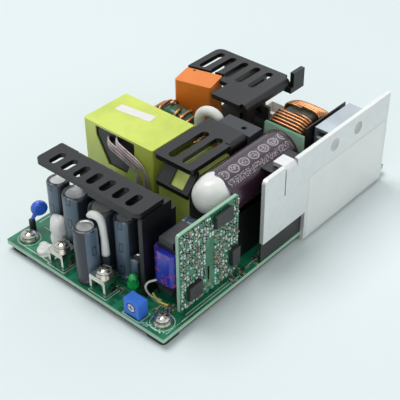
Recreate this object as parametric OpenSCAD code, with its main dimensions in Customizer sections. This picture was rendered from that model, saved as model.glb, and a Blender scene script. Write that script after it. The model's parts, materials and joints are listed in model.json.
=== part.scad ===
// Open frame AC to DC power supply on a 5 x 3 inch board.
// Origin: centre of the footprint on the surface that the corner feet stand on.
// +X runs across the board towards the side plate, +Y towards the mains end,
// +Z up. Heights named *_z are measured from the top face of the main board.

/* [Board] */
// Board width, across the short side
board_w = 76.2; // [76:0.1:88]
// Board length, along the long side
board_l = 127; // [126.5:0.1:140]
// Board thickness
board_t = 1.6; // [1.2:0.1:2.4]
// Mounting hole diameter
hole_d = 3.5; // [3.3:0.1:4]
// Distance from a board edge to a hole, on either axis
hole_inset = 5.7; // [5.3:0.1:6]

/* [Tray] */
// Height of the corner feet, from the resting surface to the board
tray_h = 2.5; // [2:0.1:5]
// Thickness of the tray's floor
tray_t = 1.2; // [0.8:0.1:1.6]
// Side of the square corner feet
foot_w = 8.4; // [8:0.1:10]
// How far the tray stands in from the board's edges
tray_inset = 0.9; // [0.4:0.1:2]

/* [Heatsinks] */
// Height of the heatsink decks over the board
deck_z = 35; // [34.5:0.1:38]
// Thickness of the heatsink sheet
sink_t = 1.8; // [1.2:0.1:2.2]
// Outer radius of the folded edges
fold_r = 2.4; // [2.3:0.1:4]
// Width of the slots in the decks
slot_w = 3; // [2:0.1:3.6]
// Spacing of the slots in the front and rear decks
slot_pitch = 5.95; // [5:0.05:6]

/* [Output end] */
// Diameter of the two large output capacitors
out_cap_d = 10; // [8:0.1:10.2]
// Diameter of the two slimmer output capacitors at the row's ends
slim_cap_d = 8; // [6.3:0.1:8.2]
// Height of the output capacitors in the row
out_cap_h = 24.5; // [16:0.5:28]
// Diameter of the single capacitor at the board's front edge
front_cap_d = 8.4; // [6.3:0.1:8.6]
// Height of that capacitor
front_cap_h = 22.5; // [12:0.5:26]
// Width of a terminal cage
term_w = 7.4; // [6.4:0.1:8]
// Depth of a terminal cage
term_l = 6.6; // [6:0.1:7.2]
// Height of a terminal cage
term_h = 6.2; // [5:0.1:8]
// Width of the trimmer's body
trim_w = 6.6; // [6:0.1:7.2]
// Depth of the trimmer's body
trim_l = 4.3; // [4:0.1:5]
// Height of the trimmer's body
trim_h = 6.5; // [6:0.1:8]
// Diameter of the trimmer's rotor
rotor_d = 2.9; // [2.4:0.1:3.6]
// Running clearance round the rotor
rotor_gap = 0.05; // [0.02:0.01:0.1]

/* [Side plate] */
// Thickness of the side plate
plate_t = 1.5; // [1.2:0.1:2]
// Height of the side plate over the board
plate_z = 35.5; // [35.2:0.1:38]
// Length of the low part that carries the label
plate_low_l = 50.8; // [46:0.1:52]
// Length of the raised front part of the plate
plate_high_l = 23.7; // [20:0.1:26]

/* [Bulk capacitor] */
// Diameter of the lying mains capacitor
bulk_d = 16.2; // [12:0.1:16.6]
// Length of the lying mains capacitor
bulk_l = 35.8; // [25:0.1:37]

/* [Magnetics] */
// Width of the main transformer
xfmr_w = 33.6; // [30:0.1:34.2]
// Length of the main transformer
xfmr_l = 21.6; // [19:0.1:23]
// Outer radius of the boost choke, over its winding
boost_r = 16; // [14:0.1:16.2]
// Half of the boost choke's width
boost_w = 8; // [6.5:0.1:8.4]
// Number of turns on the boost choke
boost_turns = 42; // [20:1:44]
// Outer radius of the common mode choke, over its windings
cm_r = 14; // [12:0.1:14.4]
// Half of the common mode choke's width
cm_w = 5; // [4:0.1:5.6]
// Number of turns in each half of the common mode choke
cm_turns = 13; // [8:1:14]

/* [Control board] */
// Length of the upright control board
ctrl_l = 29; // [26:0.1:29.4]
// Height of the upright control board
ctrl_h = 32.8; // [28:0.1:36]

/* [Hidden] */
$fn = 32;
eps = 0.01;

// Clearances
seat_gap = 0.3;
press_gap = 0.05;

// Levels
board_top = tray_h + board_t;

// Board edges
edge_x = board_w / 2;
edge_y = board_l / 2;
hole_x = edge_x - hole_inset;
hole_y = edge_y - hole_inset;

// Fasteners: M3 pan heads on the board, M3 heads on the terminals
screw_d = 3;
head_d = 5.6;
head_h = 2.2;
washer_d = 6.4;
washer_t = 0.8;

// Front heatsink
fs_x0 = -27.8;
fs_x1 = 20.2;
fs_leg_x0 = -19.4;
fs_y1 = -edge_y + 22.6;
fs_l = 13.5;
fs_y0 = fs_y1 - fs_l;
fs_leg_y = fs_y1 - sink_t;
wing_z = min(32.7, deck_z - sink_t - seat_gap);
wing_y0 = fs_y1 - 11.9;
wing_y1 = fs_y1 + 3.7;

// Output capacitors stand in a row against the front heatsink's leg
// as [x, y, diameter]
cap_gap = 0.2;
row_y = fs_leg_y - 1.1 - out_cap_d / 2;
row = [
  [-24.6, row_y + 0.5, slim_cap_d], [-14.4, row_y - 0.4, out_cap_d],
  [-2.1, row_y, out_cap_d], [7.6, row_y + 0.8, slim_cap_d]
];
front_cap_x = -0.8;
front_cap_y = row_y - out_cap_d / 2 - cap_gap - front_cap_d / 2;
small_cap_d = 5;
small_cap_h = 12;
small_cap_x = 14;
small_cap_y = row_y - 0.8;

// Terminals and trimmer stand along the front edge
term_x = [-13.15, 7.2];
term_y = -edge_y + 1.4 + term_l / 2;
trim_x = hole_x - 9.2;
trim_y = -edge_y + 1 + trim_l / 2;
rotor_z = 3.9;

// Side plate
plate_x = edge_x;
plate_y0 = 8.2;
plate_drop = 3;
finger_z = 9.4;
tab_y0 = -4.1;
tab_w = 5.6;
slit_w = 0.6;
tab_drop = 0.4;
tab_r = 1.8;
tab_gap = 3;

// Main transformer, its right side kept beside the middle heatsink
xf_x1 = -0.7;
xf_x = xf_x1 - xfmr_w / 2;
xf_y = -15.25;
tape_t = 0.5;

// Resonant choke, under the middle heatsink
rc_x0 = 3.4;
rc_x1 = 16.9;
rc_y0 = -27.4;
rc_y1 = -6.4;
rc_z = 31;
rc_front_z = 25.2;

// Middle heatsink
ms_x0 = 0;
ms_x1 = 17.1;
ms_y0 = -26.1;
ms_y1 = 3;
ms_wall_y0 = -5.6;
cover_l = 7;

// Bulk capacitor lies along the board, between the middle heatsink's wall
// and the side plate's front part
bulk_gap = 0.1;
bulk_x = ms_x1 + bulk_gap + bulk_d / 2;
bulk_z = deck_z + 0.8 - bulk_d / 2;
bulk_y1 = 11.8;
bulk_y0 = bulk_y1 - bulk_l;
bulk_board_t = 1.2;
bulk_board_w = 16.4;
bulk_board_h = 36.5;

// Upright control board, outside the line of the bulk capacitor
ctrl_t = 1.2;
ctrl_x = bulk_x + bulk_d / 2 + cap_gap + ctrl_t;
ctrl_y0 = -edge_y + 11.5;
ctrl_y1 = ctrl_y0 + ctrl_l;

// Rear heatsink
rs_x0 = -31;
rs_x1 = 5.2;
rs_y0 = 15.9;
rs_y1 = 45;

// Barrier sheet beside the chokes
barrier_t = 0.4;
barrier_x = plate_x - 7.5;

// Chokes
base_t = 1.2;
boost_x = (barrier_x + rs_x1) / 2 + 0.9;
boost_y = 31.4;
boost_z = base_t + boost_r;
cm_x = -21.8;
cm_y = 8.8;
cm_z = base_t + cm_r;

// X capacitor
xcap_w = 15.2;
xcap_l = 10.5;
xcap_z = 34.6;
xcap_x = -22.1;
xcap_y = 22.1;
xcap_turn = 14;

// Mains connector and fuse, at the rear edge
conn_x = -10;
conn_y = edge_y - 7;
conn_w = 11.8;
conn_l = 8.4;
conn_h = 9.4;
conn_wall = 0.9;
fuse_x = boost_x - boost_w - 2.8;
fuse_y = edge_y - 11.5;

// ---------- shared shapes ----------

// Lifts its children onto the main board's top face
module on_board() {
  translate([0, 0, board_top]) children();
}

// Rectangle centred on the origin with round corners
module round_rect(w, l, r) {
  square([w - 2 * r, l], center = true);
  square([w, l - 2 * r], center = true);
  for (x = [-1, 1], y = [-1, 1])
    translate([x * (w / 2 - r), y * (l / 2 - r)]) circle(r);
}

// Slot outline of overall length l and width w, along Y
module slot_shape(l, w) {
  square([w, l - w], center = true);
  for (s = [-1, 1])
    translate([0, s * (l - w) / 2]) circle(w / 2);
}

// Box standing on z = 0, centred in X and Y
module block(w, l, h) {
  translate([-w / 2, -l / 2, 0]) cube([w, l, h]);
}

// Section of a sheet folded once: the deck runs from x = 0 to a at y = 0,
// and the leg hangs down by b at x = a
module fold_section(a, b, t, r) {
  translate([0, -t]) square([a - r, t]);
  translate([a - t, -b]) square([t, b - r]);
  translate([a - r, -r]) intersection() {
    difference() {
      circle(r);
      circle(r - t);
    }
    square(r + 1);
  }
}

// Pan head with a cross recess, its underside at z = 0
module pan_head(d, h) {
  difference() {
    rotate_extrude() union() {
      square([d / 2, h * 0.55]);
      intersection() {
        translate([0, h * 0.55 - eps]) square([d / 2, h * 0.45]);
        translate([0, h - d * 0.62]) circle(d * 0.62);
      }
    }
    for (a = [0, 90])
      rotate([0, 0, a]) translate([0, 0, h * 0.5])
        block(d * 0.62, 0.7, h);
  }
}

// Electrolytic capacitor standing on z = 0: rolled bead near the foot,
// sleeve turned over the top rim
module electrolytic(d, h) {
  r = d / 2;
  bead = min(0.4, d * 0.05);
  rotate_extrude() polygon([
    [0, 0], [r - bead, 0], [r, bead], [r, 1.4], [r - bead, 1.9], [r, 2.4],
    [r, h - 0.8], [r - 0.25, h - 0.25], [r - 0.8, h], [r - 1.3, h],
    [r - 1.5, h - 0.3], [0, h - 0.3]
  ]);
}

// Ring of round section
module ring(r, t) {
  rotate_extrude() translate([r, 0]) circle(t);
}

// ---------- board and tray ----------

module board_holes(d) {
  for (x = [-1, 1], y = [-1, 1])
    translate([x * hole_x, y * hole_y]) circle(d / 2);
}

module main_board() {
  color("seagreen") translate([0, 0, tray_h]) linear_extrude(board_t)
    difference() {
      round_rect(board_w, board_l, 0.6);
      board_holes(hole_d);
    }
}

// Tray with four corner feet under the board and a pad under its middle
module insulation_tray() {
  floor_z = 0.7;
  w = board_w - 2 * tray_inset;
  l = board_l - 2 * tray_inset;
  color([0.06, 0.06, 0.07]) difference() {
    union() {
      translate([0, 0, floor_z]) linear_extrude(tray_t) round_rect(w, l, 1.5);
      for (x = [-1, 1], y = [-1, 1])
        translate([x * (w - foot_w) / 2, y * (l - foot_w) / 2, 0])
          linear_extrude(tray_h) round_rect(foot_w, foot_w, 1.5);
      linear_extrude(floor_z + eps) round_rect(foot_w, foot_w, 1.5);
    }
    translate([0, 0, -eps]) linear_extrude(tray_h + 1) board_holes(hole_d);
  }
}

// Two screws at the output end clamp the board to the tray
module board_screws() {
  color("silver") for (x = [-1, 1])
    translate([x * hole_x, -hole_y, board_top]) {
      cylinder(d = washer_d, h = washer_t);
      translate([0, 0, washer_t]) pan_head(head_d, head_h);
      translate([0, 0, 0.2 - board_top]) cylinder(d = screw_d, h = board_top);
    }
}

// ---------- output end ----------

// Folded tin-plated cage: open towards the board's edge, side walls cut
// through, and a threaded top
module output_terminal(i) {
  wall = 1;
  color("gainsboro") on_board() translate([term_x[i], term_y, 0])
    difference() {
      translate([0, 0, 0]) block(term_w, term_l, term_h);
      translate([0, -wall, -eps])
        block(term_w - 2 * wall, term_l, term_h - wall + eps);
      translate([0, 0.4, wall])
        block(term_w + 1, term_l - 2.6 * wall, term_h - 2.6 * wall);
      cylinder(d = screw_d + 2 * press_gap, h = term_h + 1);
    }
}

module terminal_washers() {
  color("silver") on_board() for (x = term_x)
    translate([x, term_y, term_h]) difference() {
      translate([0, 0, 0.01]) block(term_w - 0.4, term_w - 0.9, washer_t);
      translate([0, 0, -eps]) cylinder(d = screw_d + 2 * press_gap, h = 3);
    }
}

module terminal_screws() {
  color("silver") on_board() for (x = term_x)
    translate([x, term_y, term_h + washer_t + 0.01]) {
      pan_head(head_d, head_h);
      translate([0, 0, -term_h]) cylinder(d = screw_d, h = term_h + eps);
    }
}

// Trimmer: the rotor turns in a blind bore in the face at the board's edge
module trimmer_body() {
  color("royalblue") on_board() translate([trim_x, trim_y, 0]) difference() {
    union() {
      translate([0, 0, 0.5]) block(trim_w, trim_l, trim_h - 0.5);
      for (x = [-1, 1], y = [-1, 1])
        translate([x * (trim_w / 2 - 0.7), y * (trim_l / 2 - 0.7), 0])
          block(1.2, 1.2, 0.6);
    }
    translate([0, -trim_l / 2, rotor_z]) rotate([90, 0, 0])
      translate([0, 0, -2]) cylinder(r = rotor_d / 2 + rotor_gap, h = 3);
    translate([0, -trim_l / 2, rotor_z]) rotate([90, 0, 0])
      translate([0, 0, -0.3]) cylinder(r = rotor_d / 2 + 0.6, h = 3);
  }
}

module trimmer_rotor() {
  color("gainsboro") on_board()
    translate([trim_x, trim_y - trim_l / 2 + 1.95, rotor_z]) rotate([90, 0, 0])
      difference() {
        cylinder(d = rotor_d, h = 2);
        for (a = [0, 90])
          rotate([0, 0, a]) translate([0, 0, 1.3])
            block(rotor_d * 0.8, 0.5, 2);
      }
}

led_x = 15.8;
led_y = -edge_y + 9.6;

module power_led() {
  color("limegreen") on_board() translate([led_x, led_y, 0])
    rotate_extrude() union() {
      square([0.9, 3.6]);
      translate([0, 3.4]) square([2, 1]);
      translate([0, 4.2]) square([1.6, 2.6]);
      intersection() {
        translate([0, 6.7]) circle(1.6);
        translate([0, 6.6]) square(2);
      }
    }
}

module output_capacitor(i) {
  color("slategray") on_board() translate([row[i][0], row[i][1], 0])
    electrolytic(row[i][2], out_cap_h);
}

module front_capacitor() {
  color("slategray") on_board() translate([front_cap_x, front_cap_y, 0])
    electrolytic(front_cap_d, front_cap_h);
}

module small_capacitor() {
  color("slategray") on_board() translate([small_cap_x, small_cap_y, 0])
    electrolytic(small_cap_d, small_cap_h);
}

// Ceramic disc on one sleeved lead that leans back over the board
disc_x = (row[0][0] - edge_x) / 2 - 4.05;
disc_y = -edge_y + 10.1;
disc_lean = 36;

module disc_capacitor() {
  color("royalblue") on_board() translate([disc_x, disc_y, 0]) {
    cylinder(d = 0.7, h = 4.8);
    translate([0, 0, 4.5]) rotate([-disc_lean, 0, -28]) {
      cylinder(d1 = 1, d2 = 2.2, h = 3.4);
      translate([0, 0, 5.2]) rotate([0, 90, 0]) translate([0, 0, -1.4])
        rotate_extrude() union() {
          square([1.7, 2.8]);
          translate([1.7, 1.4]) circle(1.4);
        }
    }
  }
}

module lead_sleeve() {
  color([0.08, 0.08, 0.08]) on_board() translate([disc_x, disc_y, 0])
    difference() {
      cylinder(d = 2.4, h = 4.2);
      translate([0, 0, -eps]) cylinder(d = 0.7 + 2 * press_gap, h = 5);
    }
}

// ---------- front heatsink ----------

module deck_slots(n, l) {
  for (i = [0 : n - 1])
    translate([(i - (n - 1) / 2) * slot_pitch, 0]) slot_shape(l, slot_w);
}

// Rectangle from the origin, its corners rounded by r[0] at the near left,
// r[1] near right, r[2] far right and r[3] far left
module plan_rect(w, l, r) {
  difference() {
    square([w, l]);
    for (c = [[0, 0, 0, r[0]], [w, 0, 90, r[1]], [w, l, 180, r[2]], [0, l, 270, r[3]]])
      translate([c[0], c[1]]) rotate(c[2]) difference() {
        translate([-1, -1]) square(c[3] + 1);
        translate([c[3], c[3]]) circle(c[3]);
      }
  }
}

module front_heatsink() {
  w = fs_x1 - fs_x0;
  leg_w = fs_x1 - fs_leg_x0 - 3.6;
  color([0.09, 0.1, 0.11]) on_board() {
    difference() {
      union() {
        translate([fs_x0, fs_y0, deck_z - sink_t]) linear_extrude(sink_t)
          difference() {
            plan_rect(w, fs_l - 1.2, [2.2, 2.2, 0.8, 0.8]);
            translate([fs_leg_x0 - fs_x0, fs_l - fold_r]) square([leg_w, fold_r]);
          }
        translate([fs_leg_x0, fs_y0, deck_z]) rotate([90, 0, 90])
          linear_extrude(leg_w) intersection() {
            fold_section(fs_l, deck_z, sink_t, fold_r);
            translate([fs_l - fold_r - 1, -deck_z - 1]) square([9, deck_z + 2]);
          }
        translate([fs_leg_x0, fs_leg_y, 0])
          cube([fs_x1 - fs_leg_x0 - eps, sink_t, 22]);
      }
      translate([-4.05, fs_y0 + 5, deck_z - 3]) linear_extrude(4)
        deck_slots(7, 6.7);
    }
    translate([fs_x1 - sink_t, wing_y0, 0]) rotate([90, 0, 90])
      linear_extrude(sink_t) wing_shape();
    lip_l = 20;
    translate([fs_x1 - 2.6 - lip_l, fs_y0, deck_z - sink_t - 1.4])
      cube([lip_l, 1.2, 1.4 + eps]);
  }
}

// Outline of the wing in the YZ plane, its top corners cut away
module wing_shape() {
  l = wing_y1 - wing_y0;
  r = 1.8;
  square([l, wing_z - 4]);
  square([l - 2, wing_z - r]);
  translate([r, 0]) square([l - r - 2, wing_z]);
  translate([r, wing_z - r]) circle(r);
}

// Moulded transistor: body, tab and leads, standing on z = 0, facing -Y
module transistor(w, h) {
  body_t = 4.4;
  translate([0, 0, 4]) block(w, body_t, h);
  difference() {
    translate([-w / 2, body_t / 2 - 1.3, 4 + h]) cube([w, 1.3, 6]);
    translate([0, body_t / 2 + 1, 4 + h + 3]) rotate([90, 0, 0])
      cylinder(d = 3.6, h = 4);
  }
  for (x = [-2.54, 0, 2.54])
    translate([x, 0, 0]) block(0.9, 0.6, 4.5);
}

module rectifier_transistors() {
  color([0.12, 0.12, 0.12]) on_board() for (x = [-13, 0, 13])
    translate([x, fs_y1 + 2.22, 0]) mirror([0, 1, 0]) transistor(10, 9.5);
}

// ---------- control board ----------

// Places its children on the control board's outer face, x running along +Y
module on_control() {
  on_board() translate([ctrl_x, ctrl_y0, 0]) rotate([90, 0, 90]) children();
}

module control_board() {
  color("forestgreen") on_board()
    translate([ctrl_x - ctrl_t, ctrl_y0, 0]) rotate([90, 0, 90])
      linear_extrude(ctrl_t) difference() {
        union() {
          translate([0, 1.5]) square([ctrl_l, ctrl_h - 2.5]);
          translate([1, 1.5]) square([ctrl_l - 2, ctrl_h - 1.5]);
          for (x = [1, ctrl_l - 1])
            translate([x, ctrl_h - 1]) circle(1);
        }
        translate([13.5, 3.4]) square([2.2, 8.8]);
      }
}

module control_chips() {
  chips = [[16.4, 26.4, 8.2, 4.6], [24.6, 5.6, 3.8, 7], [3.4, 4.6, 6, 5.6]];
  color([0.1, 0.1, 0.11]) on_control() for (c = chips)
    translate([c[0], c[1], 0.01]) {
      translate([0, 0, 0.1]) cube([c[2], c[3], 1.5]);
      for (i = [0 : floor(c[2] / 1.27) - 1])
        translate([0.35 + i * 1.27, -0.8, 0]) cube([0.45, c[3] + 1.6, 0.25]);
    }
}

module control_passives() {
  color("tan") on_control() for (i = [0 : 7], j = [0 : 5]) {
    x = 1.4 + i * 1.45;
    z = 12.9 + j * 3.1;
    translate([x, z, 0.01]) cube([0.9, 1.7, 0.6]);
  }
}

// Right-angle pins that carry the control board
module control_header() {
  color("gold") on_board() for (i = [0 : 9]) {
    y = ctrl_y0 + 2.5 + i * 2.5;
    translate([ctrl_x - ctrl_t - 0.61, y, 0]) cube([0.6, 0.6, 4.5]);
  }
}

// ---------- standby transformer ----------

aux_x = 26;
aux_y = -edge_y + 20.1;
aux_w = 10.2;
aux_l = 14;
aux_core_d = 4;

module aux_bobbin() {
  color([0.08, 0.08, 0.09]) on_board() translate([aux_x, aux_y, 0]) {
    difference() {
      union() {
        translate([0, 0, 5.8]) block(aux_w - 0.6, aux_l - 0.4, 1.6);
        translate([0.4, 1.4, 20.6]) block(aux_w - 1.8, aux_l - 1, 1.5);
        translate([0, 0, 7]) cylinder(d = aux_core_d + 2.2, h = 14);
      }
      translate([0, 0, 5]) cylinder(d = aux_core_d + 2 * press_gap, h = 20);
    }
    for (x = [-4, 4], y = [-5, -1.7, 1.7, 5])
      translate([x, y, 0]) cylinder(d = 0.8, h = 6);
  }
}

// Two ferrite yokes, above and below the bobbin, joined by the middle post
module aux_core() {
  color("dimgray") on_board() translate([aux_x, aux_y, 0]) {
    translate([0, 0, 3.2]) block(6, aux_l - 2, 2.55);
    translate([0, 0.6, 22.15]) block(6, aux_l - 3, 2.4);
    translate([0, 0, 5.7]) cylinder(d = aux_core_d, h = 16.5);
  }
}

module aux_winding() {
  color("mediumblue") on_board() translate([aux_x, aux_y, 7.45]) difference() {
    linear_extrude(13.1) round_rect(aux_w, aux_l, 3);
    translate([0, 0, -1]) cylinder(d = aux_core_d + 2.2 + 2 * press_gap, h = 16);
  }
}

// ---------- main transformer ----------

win_top = 19;
win_low = 8;
win_x = xf_x1 - 18;

// Opening in the tape's front face, wide at the top and narrow below
module window_shape() {
  polygon([
    [-win_top / 2, 0], [win_top / 2, 0], [win_top / 2, -4.4],
    [win_low / 2 + 1, -14.5], [-win_low / 2, -14.5], [-win_top / 2, -4]
  ]);
}

module main_transformer_tape() {
  h = deck_z;
  color([0.9, 0.98, 0.5]) on_board() translate([xf_x, xf_y, 0]) difference() {
    translate([0, 0, 0.3]) linear_extrude(h - 0.3)
      round_rect(xfmr_w, xfmr_l, 0.8);
    translate([0, 0, 0.2]) linear_extrude(h - tape_t - 0.2)
      round_rect(xfmr_w - 2 * tape_t, xfmr_l - 2 * tape_t, 0.5);
    translate([win_x - xf_x, -xfmr_l / 2 - 1, h - 0.9]) rotate([90, 0, 0])
      mirror([0, 0, 1]) linear_extrude(4) window_shape();
  }
}

// Ferrite core: two outer legs and two yokes round the bobbin's column
module main_transformer_core() {
  w = xfmr_w - 2 * tape_t - 0.2;
  h = deck_z - tape_t - 0.1;
  color([0.2, 0.2, 0.21]) on_board() translate([xf_x, xf_y, 0]) difference() {
    translate([0, 0, 1]) block(w, xfmr_l - 8, h - 1);
    translate([0, 0, 7]) difference() {
      block(w - 8, xfmr_l, h - 14);
      cylinder(d = 10, h = 40);
    }
  }
}

module main_transformer_bobbin() {
  l = xfmr_l - 2 * tape_t - 0.2;
  w = xfmr_w - 10;
  z1 = deck_z - tape_t - 0.2;
  color([0.07, 0.07, 0.08]) on_board() translate([xf_x, xf_y, 0]) {
    difference() {
      translate([0, 0, 7.1]) cylinder(d = 18, h = z1 - 14.2);
      cylinder(d = 10.2, h = z1);
    }
    for (s = [-1, 1]) {
      translate([0, s * (l / 2 - 1.5), 7.3]) block(w - 4, 2.9, z1 - 14.2);
      translate([0, s * (l / 2 - 1.5), z1 - 7]) block(w, 2.9, 7);
      translate([0, s * (l / 2 - 1.5), 0.5]) block(w, 2.9, 7);
    }
  }
}

// Litz bundle in front of the transformer: it comes out of the tape's
// opening, crosses the front face and turns down to the board
module lead_shape(x0, z0, x1, z1, w) {
  a = atan2(z1 - z0, x1 - x0);
  l = norm([x1 - x0, z1 - z0]);
  translate([x0, z0]) circle(w / 2);
  translate([x0, z0]) rotate(a) translate([0, -w / 2]) square([l, w]);
  translate([x1, z1]) circle(w / 2);
  translate([x1 - w / 2, 0.01]) square([w, z1]);
}

lead_w = 2.7;

module transformer_leads() {
  y = xf_y - xfmr_l / 2;
  color([0.78, 0.7, 0.7]) on_board() translate([0, y - 0.05, 0])
    rotate([90, 0, 0]) linear_extrude(1.9) {
      lead_shape(xf_x1 - 20.7, 29.2, xf_x1 - 5.9, 24.2, lead_w);
      lead_shape(xf_x1 - 16.1, 32, xf_x1 - 1.9, 26, lead_w);
    }
}

// ---------- resonant choke ----------

module resonant_section(inset) {
  polygon([
    [rc_y0 + inset, 0], [rc_y0 + inset, rc_front_z - inset],
    [rc_y0 + 5.4 + inset, rc_z - inset], [rc_y1 - inset, rc_z - inset],
    [rc_y1 - inset, 0]
  ]);
}

module resonant_tape() {
  color([0.86, 0.93, 0.55]) on_board() translate([rc_x0, 0, 0.3])
    rotate([90, 0, 90]) linear_extrude(rc_x1 - rc_x0) difference() {
      resonant_section(0);
      resonant_section(0.4);
    }
}

module resonant_core() {
  color([0.2, 0.2, 0.21]) on_board() translate([rc_x0, 0, 0.4])
    rotate([90, 0, 90]) linear_extrude(rc_x1 - rc_x0)
      resonant_section(0.5);
}

module resonant_bobbin() {
  color([0.07, 0.07, 0.08]) on_board() difference() {
    translate([rc_x0 - 0.3, 0, 0.35]) rotate([90, 0, 90])
      linear_extrude(rc_x1 - rc_x0 + 0.6) polygon([
        [rc_y0 - 0.9, rc_front_z - 1], [rc_y0 - 0.9, rc_front_z + 0.6],
        [rc_y0 + 5.2, rc_z + 1.2], [rc_y0 + 5.2, rc_z + 0.1],
        [rc_y0 - 0.05, rc_front_z + 0.05], [rc_y0 - 0.05, rc_front_z - 1]
      ]);
    translate([rc_x0 + 5, rc_y0 - 0.2, rc_front_z]) cube([6, 4.6, 8]);
  }
}

// ---------- middle heatsink ----------

module middle_heatsink() {
  w = ms_x1 - ms_x0;
  l = ms_y1 - ms_y0;
  color([0.1, 0.11, 0.12]) on_board() difference() {
    union() {
      translate([ms_x0, ms_wall_y0, deck_z]) rotate([90, 0, 0])
        mirror([0, 0, 1]) linear_extrude(ms_y1 - ms_wall_y0)
          fold_section(w, deck_z, sink_t, fold_r);
      translate([ms_x0 + w / 2, ms_y0 + l / 2, deck_z - sink_t])
        linear_extrude(sink_t) difference() {
          round_rect(w, l, 1.5);
          translate([w / 2 - fold_r, ms_wall_y0 - ms_y0 - l / 2 - 0.6])
            square([fold_r + 1, l]);
        }
    }
    for (x = [5.8, 12])
      translate([x, ms_y0 + 11.6, deck_z - 3]) linear_extrude(4)
        slot_shape(19.2, slot_w + 0.4);
  }
}

module switching_transistors() {
  color([0.12, 0.12, 0.12]) on_board() for (y = [-0.6, 10.6])
    translate([ms_x1 - sink_t - 2.2, y, 0]) rotate([0, 0, -90])
      transistor(9.6, 9.5);
}

// Moulded cap behind the middle heatsink, with a round hole in its top,
// relieved round the bulk capacitor
module transistor_cover() {
  x0 = 3.3;
  w = ms_x1 + 0.9 - x0;
  color([0.2, 0.22, 0.24]) on_board() difference() {
    translate([x0, ms_y1 + press_gap, deck_z - 6]) cube([w, cover_l, 5.4]);
    translate([13, ms_y1 + 3.2, deck_z - 3]) cylinder(d = 2, h = 4);
    translate([x0 - 1, ms_y1 - 1, deck_z - 7]) cube([w - 1, cover_l - 0.2, 5]);
    translate([bulk_x, bulk_y1, bulk_z]) rotate([90, 0, 0])
      cylinder(r = bulk_d / 2 + cap_gap, h = bulk_l);
  }
}

// Wire that rises from the board, turns over in a thick sleeve and goes down
module sleeved_jumper() {
  r = 4.1;
  sleeve_r = 1.9;
  arch_z = 30.4;
  color("ivory") on_board() translate([-3.2, 6.6, arch_z]) rotate([90, 0, 14]) {
    rotate_extrude(angle = 180) translate([r, 0]) circle(sleeve_r);
    for (s = [-1, 1])
      translate([s * r, 0, 0]) rotate([90, 0, 0]) {
        cylinder(r = sleeve_r, h = 4);
        cylinder(r = 0.4, h = arch_z - 0.01);
      }
  }
}

// ---------- bulk capacitor ----------

module bulk_capacitor() {
  color([0.2, 0.11, 0.17]) on_board() translate([bulk_x, bulk_y1, bulk_z])
    rotate([90, 0, 0]) electrolytic(bulk_d, bulk_l);
}

module bulk_capacitor_board() {
  color("seagreen") on_board()
    translate([bulk_x + 0.6, bulk_y1 + 0.01 + bulk_board_t / 2, 0])
      block(bulk_board_w, bulk_board_t, bulk_board_h);
}

// Lies across the board behind the standby transformer
standby_d = 9.6;
standby_h = 12.5;
standby_x = ms_x1 + 0.3;
standby_y = aux_y + aux_l / 2 + 1.2 + standby_d / 2;
standby_z = 14;

module standby_capacitor() {
  color([0.12, 0.14, 0.2]) on_board()
    translate([standby_x, standby_y, standby_z]) rotate([0, 90, 0])
      electrolytic(standby_d, standby_h);
}

// Silicone over the bulk capacitor's front end
module silicone_dome() {
  color("white") on_board()
    translate([bulk_x - 0.1, bulk_y0 - 0.01, bulk_z + 1.3])
    rotate([90, 0, 0]) rotate_extrude() intersection() {
      translate([0, 1.1]) circle(6.9);
      square([8, 9]);
    }
}

// Bar of radius r from p to q
module bead(p, q, r) {
  v = q - p;
  l = norm(v);
  translate(p) rotate([0, acos(v[2] / l), atan2(v[1], v[0])])
    cylinder(r = r, h = l);
}

// Bars along the points, with a slightly larger ball at each point
module bead_path(points, r) {
  for (i = [0 : len(points) - 2])
    bead(points[i], points[i + 1], r);
  for (q = points)
    translate(q) sphere(r * 1.06);
}

// Silicone run down beside the bulk capacitor
side_bead = [
  [plate_x - 3.15, ctrl_y1 + 9.5, 29.2], [plate_x - 3.15, ctrl_y1 + 5, 27.6],
  [plate_x - 4.1, ctrl_y1 + 4, 21.5], [plate_x - 5.5, ctrl_y1 + 4.3, 10],
  [plate_x - 5.6, ctrl_y1 + 3.6, 1.5]
];

// Silicone laid over and between the output capacitors
front_bead = [
  [-1.6, row_y - 6.2, out_cap_h - 0.3], [1.2, row_y - 6.4, out_cap_h + 1.7],
  [2.9, row_y - 5.8, out_cap_h + 0.5], [3.4, row_y - 5.1, out_cap_h - 7.5],
  [3.4, row_y - 4.9, out_cap_h - 15]
];

module silicone_beads() {
  $fn = 12;
  color("white") on_board() {
    difference() {
      bead_path(side_bead, 1.15);
      translate([bulk_x, bulk_y1, bulk_z]) rotate([90, 0, 0])
        cylinder(d = bulk_d + 2 * press_gap, h = bulk_l + 4, $fn = 64);
    }
    bead_path(front_bead, 1.2);
    difference() {
      union() {
        translate([-20.2, row_y - 4.8, 10]) sphere(4.1);
        translate([-20.2, row_y - 5.6, 0.01]) cylinder(d1 = 6.6, d2 = 5, h = 8);
      }
      for (c = row)
        translate([c[0], c[1], -1])
          cylinder(d = c[2] + 2 * cap_gap, h = 60, $fn = 64);
    }
    difference() {
      translate([-22.6, row_y - 10, -1.2]) sphere(3.2);
      translate([0, 0, -9.99]) block(99, 199, 10);
    }
  }
}

// ---------- side plate ----------

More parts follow.
